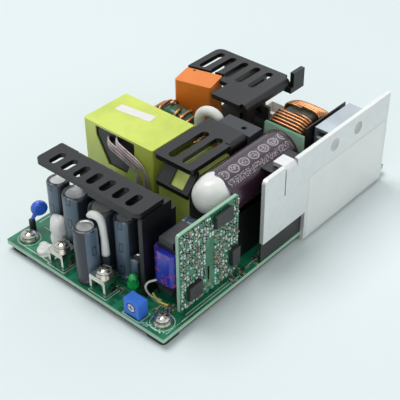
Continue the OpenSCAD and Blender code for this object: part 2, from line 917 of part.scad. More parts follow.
// Outline of the plate in the YZ plane
module plate_shape() {
  r = 1.6;
  y_end = plate_y0 + plate_low_l;
  difference() {
    union() {
      translate([plate_y0, -plate_drop]) square([plate_low_l, plate_z + plate_drop]);
      translate([plate_y0 - plate_high_l, finger_z])
        square([plate_high_l + eps, plate_z - finger_z - r]);
      translate([plate_y0 - plate_high_l + r, finger_z])
        square([plate_high_l - r + eps, plate_z - finger_z]);
      translate([plate_y0 - plate_high_l + r, plate_z - r]) circle(r);
    }
    translate([tab_y0 - slit_w, plate_z - 11.8]) square([slit_w, 20]);
    translate([tab_y0 + tab_w, plate_z - 2.6]) square([slit_w, 20]);
    translate([tab_y0 - eps, plate_z - tab_r - tab_drop])
      square([tab_w + 2 * eps, 20]);
  }
}

screw_y = [24, 38.5];
plate_screw_z = 30;

module side_plate() {
  color("whitesmoke") on_board() difference() {
    union() {
      translate([plate_x, 0, 0]) rotate([90, 0, 90])
        linear_extrude(plate_t) plate_shape();
      translate([plate_x + plate_t, tab_y0 + tab_w, plate_z - tab_r - tab_drop])
        rotate([90, 0, 0]) linear_extrude(tab_w) mirror([1, 0])
          tab_section();
    }
    for (y = screw_y)
      translate([plate_x - 1, y, plate_screw_z]) rotate([0, 90, 0]) {
        cylinder(d = 3.2, h = 5);
        translate([0, 0, 1 + plate_t - 1.2]) cylinder(d1 = 3.2, d2 = 5.2, h = 1.3);
      }
  }
}

// Half the width of the bulk capacitor at height z
function bulk_half(z) = sqrt(pow(bulk_d / 2, 2) - pow(z - bulk_z, 2));

// Section of the tab that folds inwards, its end tab_gap from the capacitor
module tab_section() {
  under_z = plate_z - tab_drop - plate_t;
  reach = plate_x + plate_t - bulk_x - bulk_half(under_z) - tab_gap;
  intersection() {
    translate([tab_r, 0]) difference() {
      circle(tab_r);
      circle(tab_r - plate_t);
    }
    square(tab_r);
  }
  translate([tab_r, tab_r - plate_t]) square([reach - tab_r, plate_t]);
}

module plate_screws() {
  color("silver") on_board() for (y = screw_y)
    translate([plate_x + plate_t, y, plate_screw_z]) rotate([0, -90, 0]) {
      difference() {
        cylinder(d1 = 5, d2 = 3, h = 1.1);
        for (a = [0, 90])
          rotate([0, 0, a]) translate([0, 0, -1]) block(3.2, 0.6, 1.7);
      }
      cylinder(d = 3, h = 7);
    }
}

// Insulating sheet inside the plate, its upper edge folded in towards the
// capacitor
module plate_insulator() {
  t = 0.4;
  y0 = plate_y0 - plate_high_l + 1;
  l = plate_high_l;
  top = plate_z - plate_t - tab_drop - seat_gap;
  flap_x = bulk_x + bulk_half(top - t) + seat_gap;
  color([0.2, 0.22, 0.24]) on_board() {
    translate([plate_x - 0.1 - t, y0, 0.3]) cube([t, l, top - 0.3]);
    translate([flap_x, y0 + 7, top - t])
      cube([plate_x - 0.1 - t / 2 - flap_x, l - 9, t]);
  }
}

module rectifier_bracket() {
  t = 1;
  w = 6;
  l = 21;
  top = plate_z - 0.3;
  color("lightsteelblue") on_board()
    translate([plate_x - 0.05, 22 + l, top]) rotate([90, 0, 0]) difference() {
      linear_extrude(l) {
        translate([-w, -t]) square([w, t]);
        translate([-w, -12]) square([t, 12]);
        translate([-t, -12]) square([t, 12]);
      }
      for (y = screw_y)
        translate([0, plate_screw_z - top, 22 + l - y])
          rotate([0, -90, 0]) translate([0, 0, -1]) cylinder(d = 3.1, h = 20);
    }
}

module bridge_rectifiers() {
  color([0.1, 0.1, 0.1]) on_board() for (y = screw_y)
    translate([plate_x - 3.3, y, 0]) difference() {
      union() {
        translate([0, 0, 6]) block(3.4, 9.6, 18);
        for (dy = [-3.6, -1.2, 1.2, 3.6])
          translate([0, dy, 0]) block(0.6, 0.9, 6.5);
      }
    }
}

// Upright insulating sheet, low under the bulk capacitor and high beyond it
module barrier_sheet() {
  low_z = bulk_z - bulk_d / 2 - seat_gap;
  y0 = bulk_y1 - 29.8;
  y1 = bulk_y1 + bulk_board_t + 0.4;
  color([0.05, 0.05, 0.06]) on_board() translate([barrier_x, 0, 0])
    rotate([90, 0, 90]) linear_extrude(barrier_t) {
      translate([y0, 0.01]) square([29.6, low_z]);
      translate([y1, 0.01]) square([5, 12]);
      translate([y1 + 4.9, 0.01]) square([24, plate_z]);
    }
}

// ---------- chokes ----------

// One turn of wire round a ring core, as a flat hoop in the XY plane
module hoop(r_in, r_out, w, wire) {
  h = r_out - r_in;
  translate([(r_in + r_out) / 2, 0]) difference() {
    round_rect(h, 2 * w, 2.6);
    round_rect(h - 2 * wire, 2 * (w - wire), 2);
  }
}

module ring_section(r_in, r_out, w) {
  translate([(r_in + r_out) / 2, 0]) round_rect(r_out - r_in, 2 * w, 2);
}

boost_in = 7.2;
wire_d = 0.95;

module boost_choke_core() {
  color([0.25, 0.28, 0.24]) on_board()
    translate([boost_x, boost_y, boost_z]) rotate([0, 90, 0]) rotate_extrude()
      ring_section(boost_in + 1.6, boost_r - 1.6, boost_w - 1.6);
}

module boost_choke_winding() {
  arc = 345;
  color([0.8, 0.5, 0.25]) on_board()
    translate([boost_x, boost_y, boost_z]) rotate([0, 90, 0])
      for (i = [0 : boost_turns - 1])
        rotate([0, 0, 100 + i * arc / boost_turns])
          rotate([90, 0, 0]) translate([0, 0, -wire_d / 2])
            linear_extrude(wire_d) hoop(boost_in, boost_r, boost_w, 1.5);
}

cm_in = 5;

module common_mode_core() {
  color("seagreen") on_board() translate([cm_x, cm_y, cm_z])
    rotate([90, 0, 0]) rotate_extrude()
      ring_section(cm_in + 1.4, cm_r - 1.4, cm_w - 1.4);
}

module common_mode_windings() {
  arc = 156;
  color([0.72, 0.42, 0.2]) on_board() translate([cm_x, cm_y, cm_z])
    rotate([90, 0, 0]) for (s = [0, 180]) rotate([0, 0, s - arc / 2])
      for (i = [0 : cm_turns - 1])
        rotate([0, 0, i * arc / (cm_turns - 1)])
          rotate([90, 0, 0]) translate([0, 0, -0.5])
            linear_extrude(1) hoop(cm_in, cm_r, cm_w, 1.3);
}

module choke_bases() {
  color([0.1, 0.1, 0.1]) on_board() {
    translate([boost_x, boost_y, 0]) block(2 * boost_w, 20, base_t - 0.01);
    translate([cm_x, cm_y, 0]) block(18, 2 * cm_w + 1, base_t - 0.01);
  }
}

// ---------- mains end ----------

module xcap_box(grow) {
  translate([xcap_x, xcap_y, 0]) rotate([0, 0, xcap_turn])
    translate([0, 0, -grow]) linear_extrude(xcap_z + 2 * grow)
      round_rect(xcap_w + 2 * grow, xcap_l + 2 * grow, 0.8);
}

module x_capacitor() {
  color("darkorange") on_board() xcap_box(0);
}

module rear_heatsink() {
  w = rs_x1 - rs_x0;
  l = rs_y1 - rs_y0;
  color([0.1, 0.11, 0.12]) on_board() difference() {
    union() {
      translate([rs_x0, rs_y0, deck_z - sink_t]) linear_extrude(sink_t)
        plan_rect(w - fold_r + eps, l, [2, 0.4, 0.4, 3]);
      translate([rs_x0, rs_y0 + 1.5, deck_z]) rotate([90, 0, 0]) mirror([0, 0, 1])
        linear_extrude(l - 3) intersection() {
          fold_section(w, 3.4, sink_t, fold_r);
          translate([w - fold_r, -20]) square(40);
        }
      translate([rs_x1 - sink_t, rs_y0 + 1.5, 0])
        cube([sink_t, 4.6, deck_z - fold_r]);
      translate([rs_x1 - sink_t, rs_y1 - 3, deck_z - 5.4])
        cube([2 * sink_t - 0.2, 3, 2.2]);
      translate([rs_x1 - 0.2, rs_y1 - 1.4, deck_z - 5.4])
        cube([sink_t, 6.6, 8]);
      translate([rs_x0 + 4, rs_y1 - sink_t, 0]) cube([20, sink_t, deck_z - eps]);
    }
    translate([-14.7, rs_y1 - 9.6, deck_z - 3]) linear_extrude(4)
      deck_slots(5, 13.6);
    translate([0, 0, 1]) xcap_box(0.8);
    translate([rs_x0 - 1, rs_y0 - 1, deck_z - 4]) cube([21.7, 10.4, 5]);
  }
}

module boost_transistors() {
  color([0.12, 0.12, 0.12]) on_board() for (x = [-20, -8])
    translate([x, rs_y1 - sink_t - 2.2, 0]) transistor(9.6, 9.5);
}

// Three-way wafer with its middle way left out
module input_connector() {
  pitch = 3.96;
  color("ivory") on_board() translate([conn_x, conn_y, 0]) {
    difference() {
      block(conn_w, conn_l, conn_h);
      translate([0, 0.6, 1.6])
        block(conn_w - 2 * conn_wall, conn_l - 2, conn_h);
    }
    for (x = [-pitch, pitch])
      translate([x, 0, 1]) block(1.1, 1.1, conn_h - 2);
  }
}

module input_fuse() {
  color("tan") on_board() translate([fuse_x, fuse_y, 3.2]) {
    rotate([90, 0, 0]) translate([0, 0, -10]) cylinder(d = 4.6, h = 20);
    for (s = [-1, 1])
      translate([0, s * 7.5, 0]) rotate([90, 0, 0]) translate([0, 0, -2.5])
        cylinder(d = 5.4, h = 5);
    for (s = [-1, 1])
      translate([0, s * 7.5, -3.2]) block(1, 3, 2);
  }
}

module relay() {
  color([0.1, 0.1, 0.1]) on_board() translate([22, -4, 0]) block(9, 15, 17);
}

main_board();
insulation_tray();
board_screws();
output_terminal(0);  // output_terminal_1
output_terminal(1);  // output_terminal_2
terminal_screws();
terminal_washers();
trimmer_body();
trimmer_rotor();
power_led();
output_capacitor(0);  // output_capacitor_1
output_capacitor(1);  // output_capacitor_2
output_capacitor(2);  // output_capacitor_3
output_capacitor(3);  // output_capacitor_4
front_capacitor();
small_capacitor();
disc_capacitor();
lead_sleeve();
front_heatsink();
rectifier_transistors();
control_board();
control_chips();
control_passives();
control_header();
aux_bobbin();
aux_core();
aux_winding();
main_transformer_core();
main_transformer_bobbin();
main_transformer_tape();
transformer_leads();
resonant_core();
resonant_bobbin();
resonant_tape();
middle_heatsink();
switching_transistors();
transistor_cover();
sleeved_jumper();
bulk_capacitor();
bulk_capacitor_board();
standby_capacitor();
silicone_dome();
silicone_beads();
side_plate();
plate_screws();
plate_insulator();
rectifier_bracket();
bridge_rectifiers();
barrier_sheet();
boost_choke_core();
boost_choke_winding();
choke_bases();
rear_heatsink();
boost_transistors();
x_capacitor();
common_mode_core();
common_mode_windings();
input_connector();
input_fuse();
relay();
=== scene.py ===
"""Looks of an open frame power supply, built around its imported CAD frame.

Lengths are millimetres in the sub-assembly classes and metres in the
finishes. A mesh is turned into metres when its object is made.
"""
from __future__ import annotations

import json
import logging
import math
from dataclasses import dataclass
from enum import Enum

import bpy
import numpy as np
from mathutils import Matrix, Vector

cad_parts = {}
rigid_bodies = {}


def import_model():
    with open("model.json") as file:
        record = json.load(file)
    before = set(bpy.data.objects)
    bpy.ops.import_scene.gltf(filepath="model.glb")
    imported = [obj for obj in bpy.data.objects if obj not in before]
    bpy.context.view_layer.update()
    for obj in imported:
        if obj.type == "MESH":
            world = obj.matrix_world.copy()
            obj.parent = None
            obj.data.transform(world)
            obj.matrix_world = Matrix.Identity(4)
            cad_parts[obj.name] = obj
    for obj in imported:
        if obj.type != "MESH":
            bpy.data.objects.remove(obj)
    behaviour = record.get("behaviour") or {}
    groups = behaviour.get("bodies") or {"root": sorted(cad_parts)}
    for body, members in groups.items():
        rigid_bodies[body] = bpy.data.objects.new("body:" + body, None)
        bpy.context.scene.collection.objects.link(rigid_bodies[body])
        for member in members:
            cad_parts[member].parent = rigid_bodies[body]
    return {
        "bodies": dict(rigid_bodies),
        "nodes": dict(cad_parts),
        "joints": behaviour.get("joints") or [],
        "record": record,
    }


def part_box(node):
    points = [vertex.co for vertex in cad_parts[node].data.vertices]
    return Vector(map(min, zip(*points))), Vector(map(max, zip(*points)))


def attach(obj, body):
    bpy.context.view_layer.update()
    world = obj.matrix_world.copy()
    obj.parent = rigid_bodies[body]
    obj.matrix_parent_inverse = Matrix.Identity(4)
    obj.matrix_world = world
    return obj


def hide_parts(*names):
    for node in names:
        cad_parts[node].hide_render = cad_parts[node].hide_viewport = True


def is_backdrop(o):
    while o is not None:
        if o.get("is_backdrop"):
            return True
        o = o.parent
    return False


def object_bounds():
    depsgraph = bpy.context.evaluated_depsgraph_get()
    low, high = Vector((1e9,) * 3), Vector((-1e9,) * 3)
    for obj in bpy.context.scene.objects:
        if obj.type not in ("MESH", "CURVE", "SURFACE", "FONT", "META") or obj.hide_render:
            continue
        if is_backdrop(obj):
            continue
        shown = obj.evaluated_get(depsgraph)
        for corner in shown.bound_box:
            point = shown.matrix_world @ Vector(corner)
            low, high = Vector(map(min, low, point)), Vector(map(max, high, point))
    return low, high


LOG = logging.getLogger("supply")
MM = 0.001
BODY = "supply"
Triple = tuple[float, float, float]
Span = tuple[float, float, float, float]
Mesh = tuple[np.ndarray, list]
Socket = bpy.types.NodeSocket


class Axis(Enum):
    """The axis that a wound or rolled part is turned about."""

    X = 0
    Y = 1
    Z = 2


# ---------- node graphs ----------


class Graph:
    """A material's node tree, with short calls for the nodes used here."""

    def __init__(self, name: str) -> None:
        """Makes an empty procedural material.

        Args:
            name: the material's name.
        """
        self.material = bpy.data.materials.new(name)
        self.material.use_nodes = True
        self.tree = self.material.node_tree
        self.shader = self.tree.nodes["Principled BSDF"]
        self.place = self.node("ShaderNodeTexCoord").outputs["Object"]
        self.facing = self.node("ShaderNodeNewGeometry").outputs["Normal"]

    def node(self, kind: str, **settings: object) -> bpy.types.Node:
        """Adds a node.

        Args:
            kind: the node's type.
            settings: its properties, by name.

        Returns:
            The node.
        """
        made = self.tree.nodes.new(kind)
        for key, value in settings.items():
            setattr(made, key, value)
        return made

    def feed(self, socket: Socket, value: object) -> None:
        """Links a socket, or sets it to a constant.

        Args:
            socket: an input.
            value: an output to link, a colour or a number.
        """
        if isinstance(value, Socket):
            self.tree.links.new(value, socket)
        elif isinstance(value, tuple) and len(value) == 3 and socket.type == "RGBA":
            socket.default_value = (*value, 1.0)
        else:
            socket.default_value = value

    def math(self, kind: str, *values: object) -> Socket:
        """Adds a maths node.

        Args:
            kind: the operation.
            values: up to three sockets or numbers.

        Returns:
            Its output.
        """
        made = self.node("ShaderNodeMath", operation=kind)
        for socket, value in zip(made.inputs, values):
            self.feed(socket, value)
        return made.outputs[0]

    def times(self, first: object, second: object) -> Socket:
        """Returns the product of first and second."""
        return self.math("MULTIPLY", first, second)

    def near(self, value: object, middle: float, reach: float) -> Socket:
        """Returns 1 where value is less than reach from middle, else 0."""
        away = self.math("ABSOLUTE", self.math("SUBTRACT", value, middle))
        return self.math("LESS_THAN", away, reach)

    def distance(self, first: Socket, second: Socket) -> Socket:
        """Returns the root of the sum of the squares of first and second."""
        total = self.math("ADD", self.times(first, first), self.times(second, second))
        return self.math("SQRT", total)

    def vector(self, kind: str, first: Socket, second: Triple | Vector) -> bpy.types.Node:
        """Adds a vector maths node.

        Args:
            kind: the operation.
            first: a vector socket.
            second: a constant vector.

        Returns:
            The node.
        """
        made = self.node("ShaderNodeVectorMath", operation=kind)
        self.feed(made.inputs[0], first)
        made.inputs[1].default_value = second
        return made

    def shifted(self, centre: Vector) -> Socket:
        """Returns the object coordinates measured from centre."""
        return self.vector("SUBTRACT", self.place, centre).outputs[0]

    def along(self, vector: Socket, way: Vector) -> Socket:
        """Returns how far vector reaches along the unit vector way."""
        return self.vector("DOT_PRODUCT", vector, way).outputs["Value"]

    def stretched(self, scale: Triple) -> Socket:
        """Returns the object coordinates times scale."""
        return self.vector("MULTIPLY", self.place, scale).outputs[0]

    def noise(self, scale: float, detail: float = 3.0, vector: Socket | None = None) -> Socket:
        """Adds noise between 0 and 1.

        Args:
            scale: cells a metre.
            detail: octaves of finer noise.
            vector: where to read it, or None for the object coordinates.

        Returns:
            The noise.
        """
        made = self.node("ShaderNodeTexNoise")
        self.feed(made.inputs["Vector"], self.place if vector is None else vector)
        made.inputs["Scale"].default_value = scale
        made.inputs["Detail"].default_value = detail
        return made.outputs["Fac"]

    def steps(self, value: object, low: float, high: float) -> Socket:
        """Spreads a value from 0 at low to 1 at high, and clamps it.

        Args:
            value: the value to spread.
            low: where the result is 0.
            high: where the result is 1.

        Returns:
            The spread value.
        """
        made = self.node("ShaderNodeMapRange")
        self.feed(made.inputs["Value"], value)
        made.inputs["From Min"].default_value = low
        made.inputs["From Max"].default_value = high
        return made.outputs["Result"]

    def mix(self, share: object, first: object, second: object) -> Socket:
        """Blends two colours.

        Args:
            share: 0 for first to 1 for second.
            first: a colour or a colour socket.
            second: a colour or a colour socket.

        Returns:
            The blended colour.
        """
        made = self.node("ShaderNodeMix", data_type="RGBA")
        self.feed(made.inputs[0], share)
        self.feed(made.inputs[6], first)
        self.feed(made.inputs[7], second)
        return made.outputs[2]

    def bump(self, height: Socket, depth: float) -> None:
        """Dents the surface.

        Args:
            height: the pattern, 0 to 1.
            depth: the dent's depth in metres at height 1.
        """
        made = self.node("ShaderNodeBump")
        self.feed(made.inputs["Height"], height)
        made.inputs["Distance"].default_value = depth
        self.feed(self.shader.inputs["Normal"], made.outputs[0])

    def surface(self, colour: object, rough: object, metal: object = 0.0, coat: float = 0.0) -> None:
        """Sets the shader's main inputs.

        Args:
            colour: base colour.
            rough: roughness.
            metal: 1 for bare metal.
            coat: weight of the clear coat.
        """
        self.feed(self.shader.inputs["Base Color"], colour)
        self.feed(self.shader.inputs["Roughness"], rough)
        self.feed(self.shader.inputs["Metallic"], metal)
        self.shader.inputs["Coat Weight"].default_value = coat
        self.shader.inputs["Coat Roughness"].default_value = 0.15

    def translucent(self, weight: float, radius: Triple) -> None:
        """Lets light spread under the surface over radius, in metres."""
        self.shader.inputs["Subsurface Weight"].default_value = weight
        self.shader.inputs["Subsurface Radius"].default_value = radius
        self.shader.inputs["Subsurface Scale"].default_value = 1.0


@dataclass(frozen=True)
class Finish:
    """A plain finish: a colour with mottling, a roughness and a fine grain.

    Args:
        name: the material's name.
        colour: its base colour.
        rough: its mean roughness.
        metal: 1 for bare metal.
        coat: weight of the clear coat.
        spread: share by which the mottling darkens and lightens.
        grain: cells of fine grain a metre.
        depth: depth of the grain in metres.
        stretch: scale of the grain on X, Y and Z.
        glow: weight of the light that spreads under the surface.
    """

    name: str
    colour: Triple
    rough: float = 0.5
    metal: float = 0.0
    coat: float = 0.0
    spread: float = 0.25
    grain: float = 900.0
    depth: float = 0.00003
    stretch: Triple = (1.0, 1.0, 1.0)
    glow: float = 0.0

    def build(self) -> bpy.types.Material:
        """Makes the material.

        Returns:
            The material.
        """
        graph = Graph(self.name)
        where = graph.stretched(self.stretch)
        cloud = graph.noise(self.grain * 0.15, 2.0, where)
        dark = tuple(c * (1 - self.spread) for c in self.colour)
        light = tuple(min(1.0, c * (1 + self.spread)) for c in self.colour)
        colour = graph.mix(graph.steps(cloud, 0.3, 0.7), dark, light)
        fine = graph.noise(self.grain, 4.0, where)
        rough = graph.math("MULTIPLY_ADD", fine, 0.3 * self.rough, 0.85 * self.rough)
        graph.surface(colour, rough, self.metal, self.coat)
        if self.glow:
            graph.translucent(self.glow, (0.002, 0.002, 0.001))
        graph.bump(fine, self.depth)
        return graph.material


Looks = tuple[tuple[Finish, tuple[str, ...]], ...]


def anodised(name: str) -> Finish:
    """Returns the black anodised finish of a heatsink."""
    return Finish(name, (0.0032, 0.0032, 0.0038), 0.40, 0.0, 0.0, 0.2, 1800.0, 0.000015)


def epoxy(name: str) -> Finish:
    """Returns the dull black of a moulded transistor."""
    return Finish(name, (0.012, 0.012, 0.013), 0.5)


@dataclass(frozen=True)
class BoardFinish:
    """Solder resist with copper tracks under it, and a pale laminate edge.

    Args:
        name: the material's name.
        upright: True for a board that stands, with its face to +X.
        resist: colour of the resist over bare laminate.
        track: colour of the resist over copper.
        edge: colour of the cut edge.
        nets: scale, brick width and row height of each pattern of tracks.
        mortar: width of a track in a pattern's own units.
    """

    name: str
    upright: bool = False
    resist: Triple = (0.003, 0.115, 0.052)
    track: Triple = (0.012, 0.215, 0.105)
    edge: Triple = (0.32, 0.50, 0.36)
    nets: tuple[Triple, Triple] = ((110.0, 0.9, 0.35), (47.0, 0.5, 0.8))
    mortar: float = 0.06

    def build(self) -> bpy.types.Material:
        """Makes the material: two brick patterns of tracks, crossed.

        Returns:
            The material.
        """
        graph = Graph(self.name)
        turned = graph.node("ShaderNodeMapping")
        graph.feed(turned.inputs["Vector"], graph.place)
        if self.upright:
            turned.inputs["Rotation"].default_value = (0.0, math.radians(90), 0.0)
        masks = []
        for scale, width, row in self.nets:
            brick = graph.node("ShaderNodeTexBrick")
            graph.feed(brick.inputs["Vector"], turned.outputs[0])
            brick.inputs["Scale"].default_value = scale
            brick.inputs["Mortar Size"].default_value = self.mortar
            brick.inputs["Brick Width"].default_value = width
            brick.inputs["Row Height"].default_value = row
            masks.append(brick.outputs["Fac"])
        tracks = graph.math("MAXIMUM", masks[0], masks[1])
        gate = graph.steps(graph.noise(90.0, 1.0), 0.44, 0.5)
        face = graph.mix(graph.times(tracks, gate), self.resist, self.track)
        face = graph.mix(graph.steps(graph.noise(60.0, 2.0), 0.45, 0.7), face, self.track)
        way = Vector((1, 0, 0)) if self.upright else Vector((0, 0, 1))
        flat = graph.math("ABSOLUTE", graph.along(graph.facing, way))
        graph.surface(graph.mix(graph.steps(flat, 0.5, 0.6), self.edge, face), 0.32, 0.0, 0.35)
        graph.bump(tracks, 0.00003)
        return graph.material


@dataclass(frozen=True)
class SleeveFinish:
    """Printed shrink sleeve on a can, with a stripe, marks and a bare vent.

    Args:
        name: the material's name.
        sleeve: the sleeve's colour.
        stripe: the colour of the stripe.
        metal: the colour of the bare end.
        turn_deg: where the stripe stands round the can.
        stripe_reach: share of the radius past which the stripe begins.
        pitch: distance between the stripe's marks.
        mark: half height and half width of a mark, by pitch and radius.
        hollow: the same for the hollow inside the mark.
        lip: width of the sleeve's lip over the end.
        end: height of the zone at the end where metal may show.
        groove: half width of the vent's grooves.
    """

    name: str
    sleeve: Triple = (0.018, 0.024, 0.034)
    stripe: Triple = (0.085, 0.13, 0.18)
    metal: Triple = (0.62, 0.63, 0.62)
    turn_deg: float = -20.0
    stripe_reach: float = 0.78
    pitch: float = 0.0095
    mark: tuple[float, float] = (0.2, 0.2)
    hollow: tuple[float, float] = (0.15, 0.12)
    lip: float = 0.00125
    end: float = 0.0005
    groove: float = 0.00022

    def build(self, low: Vector, high: Vector, axis: Axis = Axis.Z) -> bpy.types.Material:
        """Makes the material for the can that fills the box low to high.

        Args:
            low: lowest corner of the can's box.
            high: highest corner.
            axis: the can's axis, with the vent at its high end.

        Returns:
            The material.
        """
        graph = Graph(self.name)
        way = Vector([1.0 if i == axis.value else 0.0 for i in range(3)])
        length = (high - low)[axis.value]
        radius = (high - low)[(axis.value + 1) % 3] / 2
        here = graph.shifted((low + high) / 2 - way * length / 2)
        side = Vector((0, 1, 0)) if axis == Axis.X else Vector((1, 0, 0))
        side = Matrix.Rotation(math.radians(self.turn_deg), 3, way) @ side
        rise = graph.along(here, way)
        reach = graph.along(here, side)
        lateral = graph.along(here, way.cross(side))
        in_stripe = graph.math("GREATER_THAN", reach, radius * self.stripe_reach)
        colour = graph.mix(in_stripe, self.sleeve, self.stripe)
        beat = graph.math("FRACT", graph.math("DIVIDE", rise, self.pitch))
        wide = graph.math("DIVIDE", lateral, radius)
        outer, inner = (
            graph.times(graph.near(beat, 0.5, tall), graph.near(wide, 0.0, broad))
            for tall, broad in (self.mark, self.hollow)
        )
        printed = graph.times(graph.math("SUBTRACT", outer, inner), in_stripe)
        colour = graph.mix(printed, colour, self.sleeve)
        in_lip = graph.math("LESS_THAN", graph.distance(reach, lateral), radius - self.lip)
        bare = graph.times(graph.math("GREATER_THAN", rise, length - self.end), in_lip)
        colour = graph.mix(bare, colour, self.metal)
        rough = graph.math("MULTIPLY_ADD", bare, -0.05, 0.36)
        graph.surface(colour, rough, graph.times(bare, 0.9), 0.25)
        cross = graph.math("MINIMUM", graph.math("ABSOLUTE", reach), graph.math("ABSOLUTE", lateral))
        cut = graph.times(bare, graph.math("LESS_THAN", cross, self.groove))
        wrinkle = graph.times(graph.noise(500.0, 3.0), 0.25)
        graph.bump(graph.math("SUBTRACT", wrinkle, cut), 0.00018)
        return graph.material


@dataclass(frozen=True)
class RingSleeve:
    """The bulk capacitor's sleeve, with a row of pale rings and dashes.

    With u the distance along the axis over the pitch and v the arc across
    it over the scale, a ring is where hypot(fract(u) - 1/2, v) is near the
    ring's radius. Scribbles fill the ring, and dashes run beside it.

    Args:
        name: the material's name.
        sleeve: the sleeve's colour.
        ink: the colour of the print.
        end: the colour of the sealed end that faces -Y.
        lean_deg: how far the row of rings leans from the top to +X.
        pitch: distance between rings.
        scale: arc for which v is 1.
        ring: radius and half width of a ring, in u and v.
        core: radius that the scribbles fill.
        dash: v of the dashes and their half height.
        margin: bare length at the -Y end and at the +Y end.
    """

    name: str
    sleeve: Triple = (0.032, 0.012, 0.024)
    ink: Triple = (0.42, 0.38, 0.42)
    end: Triple = (0.34, 0.35, 0.42)
    lean_deg: float = 12.0
    pitch: float = 0.0052
    scale: float = 0.0046
    ring: tuple[float, float] = (0.36, 0.045)
    core: float = 0.25
    dash: tuple[float, float] = (0.78, 0.24)
    margin: tuple[float, float] = (0.0015, 0.002)

    def build(self, low: Vector, high: Vector) -> bpy.types.Material:
        """Makes the material for the can that fills the box low to high.

        Args:
            low: lowest corner of the can's box.
            high: highest corner.

        Returns:
            The material.
        """
        graph = Graph(self.name)
        here = graph.shifted(Vector(((low.x + high.x) / 2, low.y, (low.z + high.z) / 2)))
        lean = math.radians(self.lean_deg)
        out = Vector((math.sin(lean), 0, math.cos(lean)))
        along = graph.along(here, Vector((0, 1, 0)))
        arc = graph.math("DIVIDE", graph.along(here, Vector((out.z, 0, -out.x))), self.scale)
        beat = graph.math("FRACT", graph.math("DIVIDE", along, self.pitch))
        away = graph.distance(graph.math("SUBTRACT", beat, 0.5), arc)
        scribble = graph.times(graph.math("LESS_THAN", away, self.core),
                               graph.steps(graph.noise(1600.0, 1.0), 0.52, 0.56))
        dashes = graph.times(graph.near(arc, *self.dash),
                             graph.steps(graph.noise(1900.0, 1.0), 0.5, 0.56))
        pale = graph.math("MAXIMUM", graph.near(away, *self.ring), scribble)
        pale = graph.math("MAXIMUM", pale, dashes)
        pale = graph.times(graph.math("GREATER_THAN", graph.along(here, out), 0.0), pale)
        pale = graph.times(pale, graph.math("GREATER_THAN", along, self.margin[0]))
        far = graph.math("LESS_THAN", along, high.y - low.y - self.margin[1])
        pale = graph.times(pale, far)
        colour = graph.mix(graph.times(pale, 0.75), self.sleeve, self.ink)
        flat = graph.along(graph.facing, Vector((0, -1, 0)))
        colour = graph.mix(graph.steps(flat, 0.7, 0.9), colour, self.end)
        graph.surface(colour, 0.27, 0.0, 0.5)
        graph.bump(graph.noise(300.0, 3.0), 0.00006)
        return graph.material


@dataclass(frozen=True)
class TapeFinish:
    """Thin glossy tape with soft folds.

    Args:
        name: the material's name.
        light: colour of the flat tape.
        dark: colour in the folds' hollows, which is painted shade.
    """

    name: str
    light: Triple
    dark: Triple

    def build(self) -> bpy.types.Material:
        """Makes the material.

        Returns:
            The material.
        """
        graph = Graph(self.name)
        folds = graph.noise(60.0, 3.0, graph.stretched((1.0, 1.0, 0.35)))
        # painted shade: the tape turns to its dark colour where the fold pattern is low, in the hollows
        # that the bump below dents
        colour = graph.mix(graph.steps(folds, 0.25, 0.6), self.dark, self.light)
        graph.surface(colour, 0.3, 0.0, 0.3)
        graph.translucent(0.15, (0.002, 0.002, 0.0008))
        graph.bump(folds, 0.0012)
        return graph.material


@dataclass(frozen=True)
class WornPrint:
    """Blue winding tape with a worn reddish mark.

    Args:
        name: the material's name.
        blue: colour of the tape.
        red: colour of the mark.
    """

    name: str
    blue: Triple = (0.02, 0.03, 0.42)
    red: Triple = (0.38, 0.05, 0.12)

    def build(self) -> bpy.types.Material:
        """Makes the material.

        Returns:
            The material.
        """
        graph = Graph(self.name)
        wear = graph.steps(graph.noise(700.0, 2.0), 0.54, 0.6)
        patch = graph.steps(graph.noise(160.0, 0.0), 0.46, 0.52)
        graph.surface(graph.mix(graph.times(wear, patch), self.blue, self.red), 0.25, 0.0, 0.4)
        graph.bump(graph.noise(300.0, 2.0), 0.0001)
        return graph.material


# ---------- meshes ----------


def add_piece(
    name: str,
    mesh: Mesh,
    material: bpy.types.Material,
    smooth: bool = True,
) -> bpy.types.Object:
    """Makes a mesh object that rides on the supply's body.

    Args:
        name: the piece's name.
        mesh: points in millimetres, and faces outward by the right hand.
        material: its material.
        smooth: whether faces are shaded smooth.

    Returns:
        The object.
    """
    points, faces = mesh
    rows = [list(map(int, face)) for face in faces]
    data = bpy.data.meshes.new(name)
    data.from_pydata((np.asarray(points, dtype=float) * MM).tolist(), [], rows)
    data.polygons.foreach_set("use_smooth", np.full(len(data.polygons), smooth))
    data.materials.append(material)
    data.update()
    piece = bpy.data.objects.new(name, data)
    bpy.context.scene.collection.objects.link(piece)
    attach(piece, BODY)
    LOG.info("%s: %d faces", name, len(rows))
    return piece


def merged(parts: list[Mesh]) -> Mesh:
    """Joins meshes.

    Args:
        parts: the meshes.

    Returns:
        One mesh.
    """
    points: list[np.ndarray] = []
    faces: list[list[int]] = []
    count = 0
    for some, rows in parts:
        points.append(some)
        faces.extend([[int(i) + count for i in row] for row in rows])
        count += len(some)
    return np.concatenate(points), faces


CORNERS = np.array([[x, y, z] for x in (-1, 1) for y in (-1, 1) for z in (-1, 1)], dtype=float)
SIDES = np.array([
    [0, 1, 3, 2], [4, 6, 7, 5], [0, 4, 5, 1],
    [2, 3, 7, 6], [0, 2, 6, 4], [1, 5, 7, 3],
])


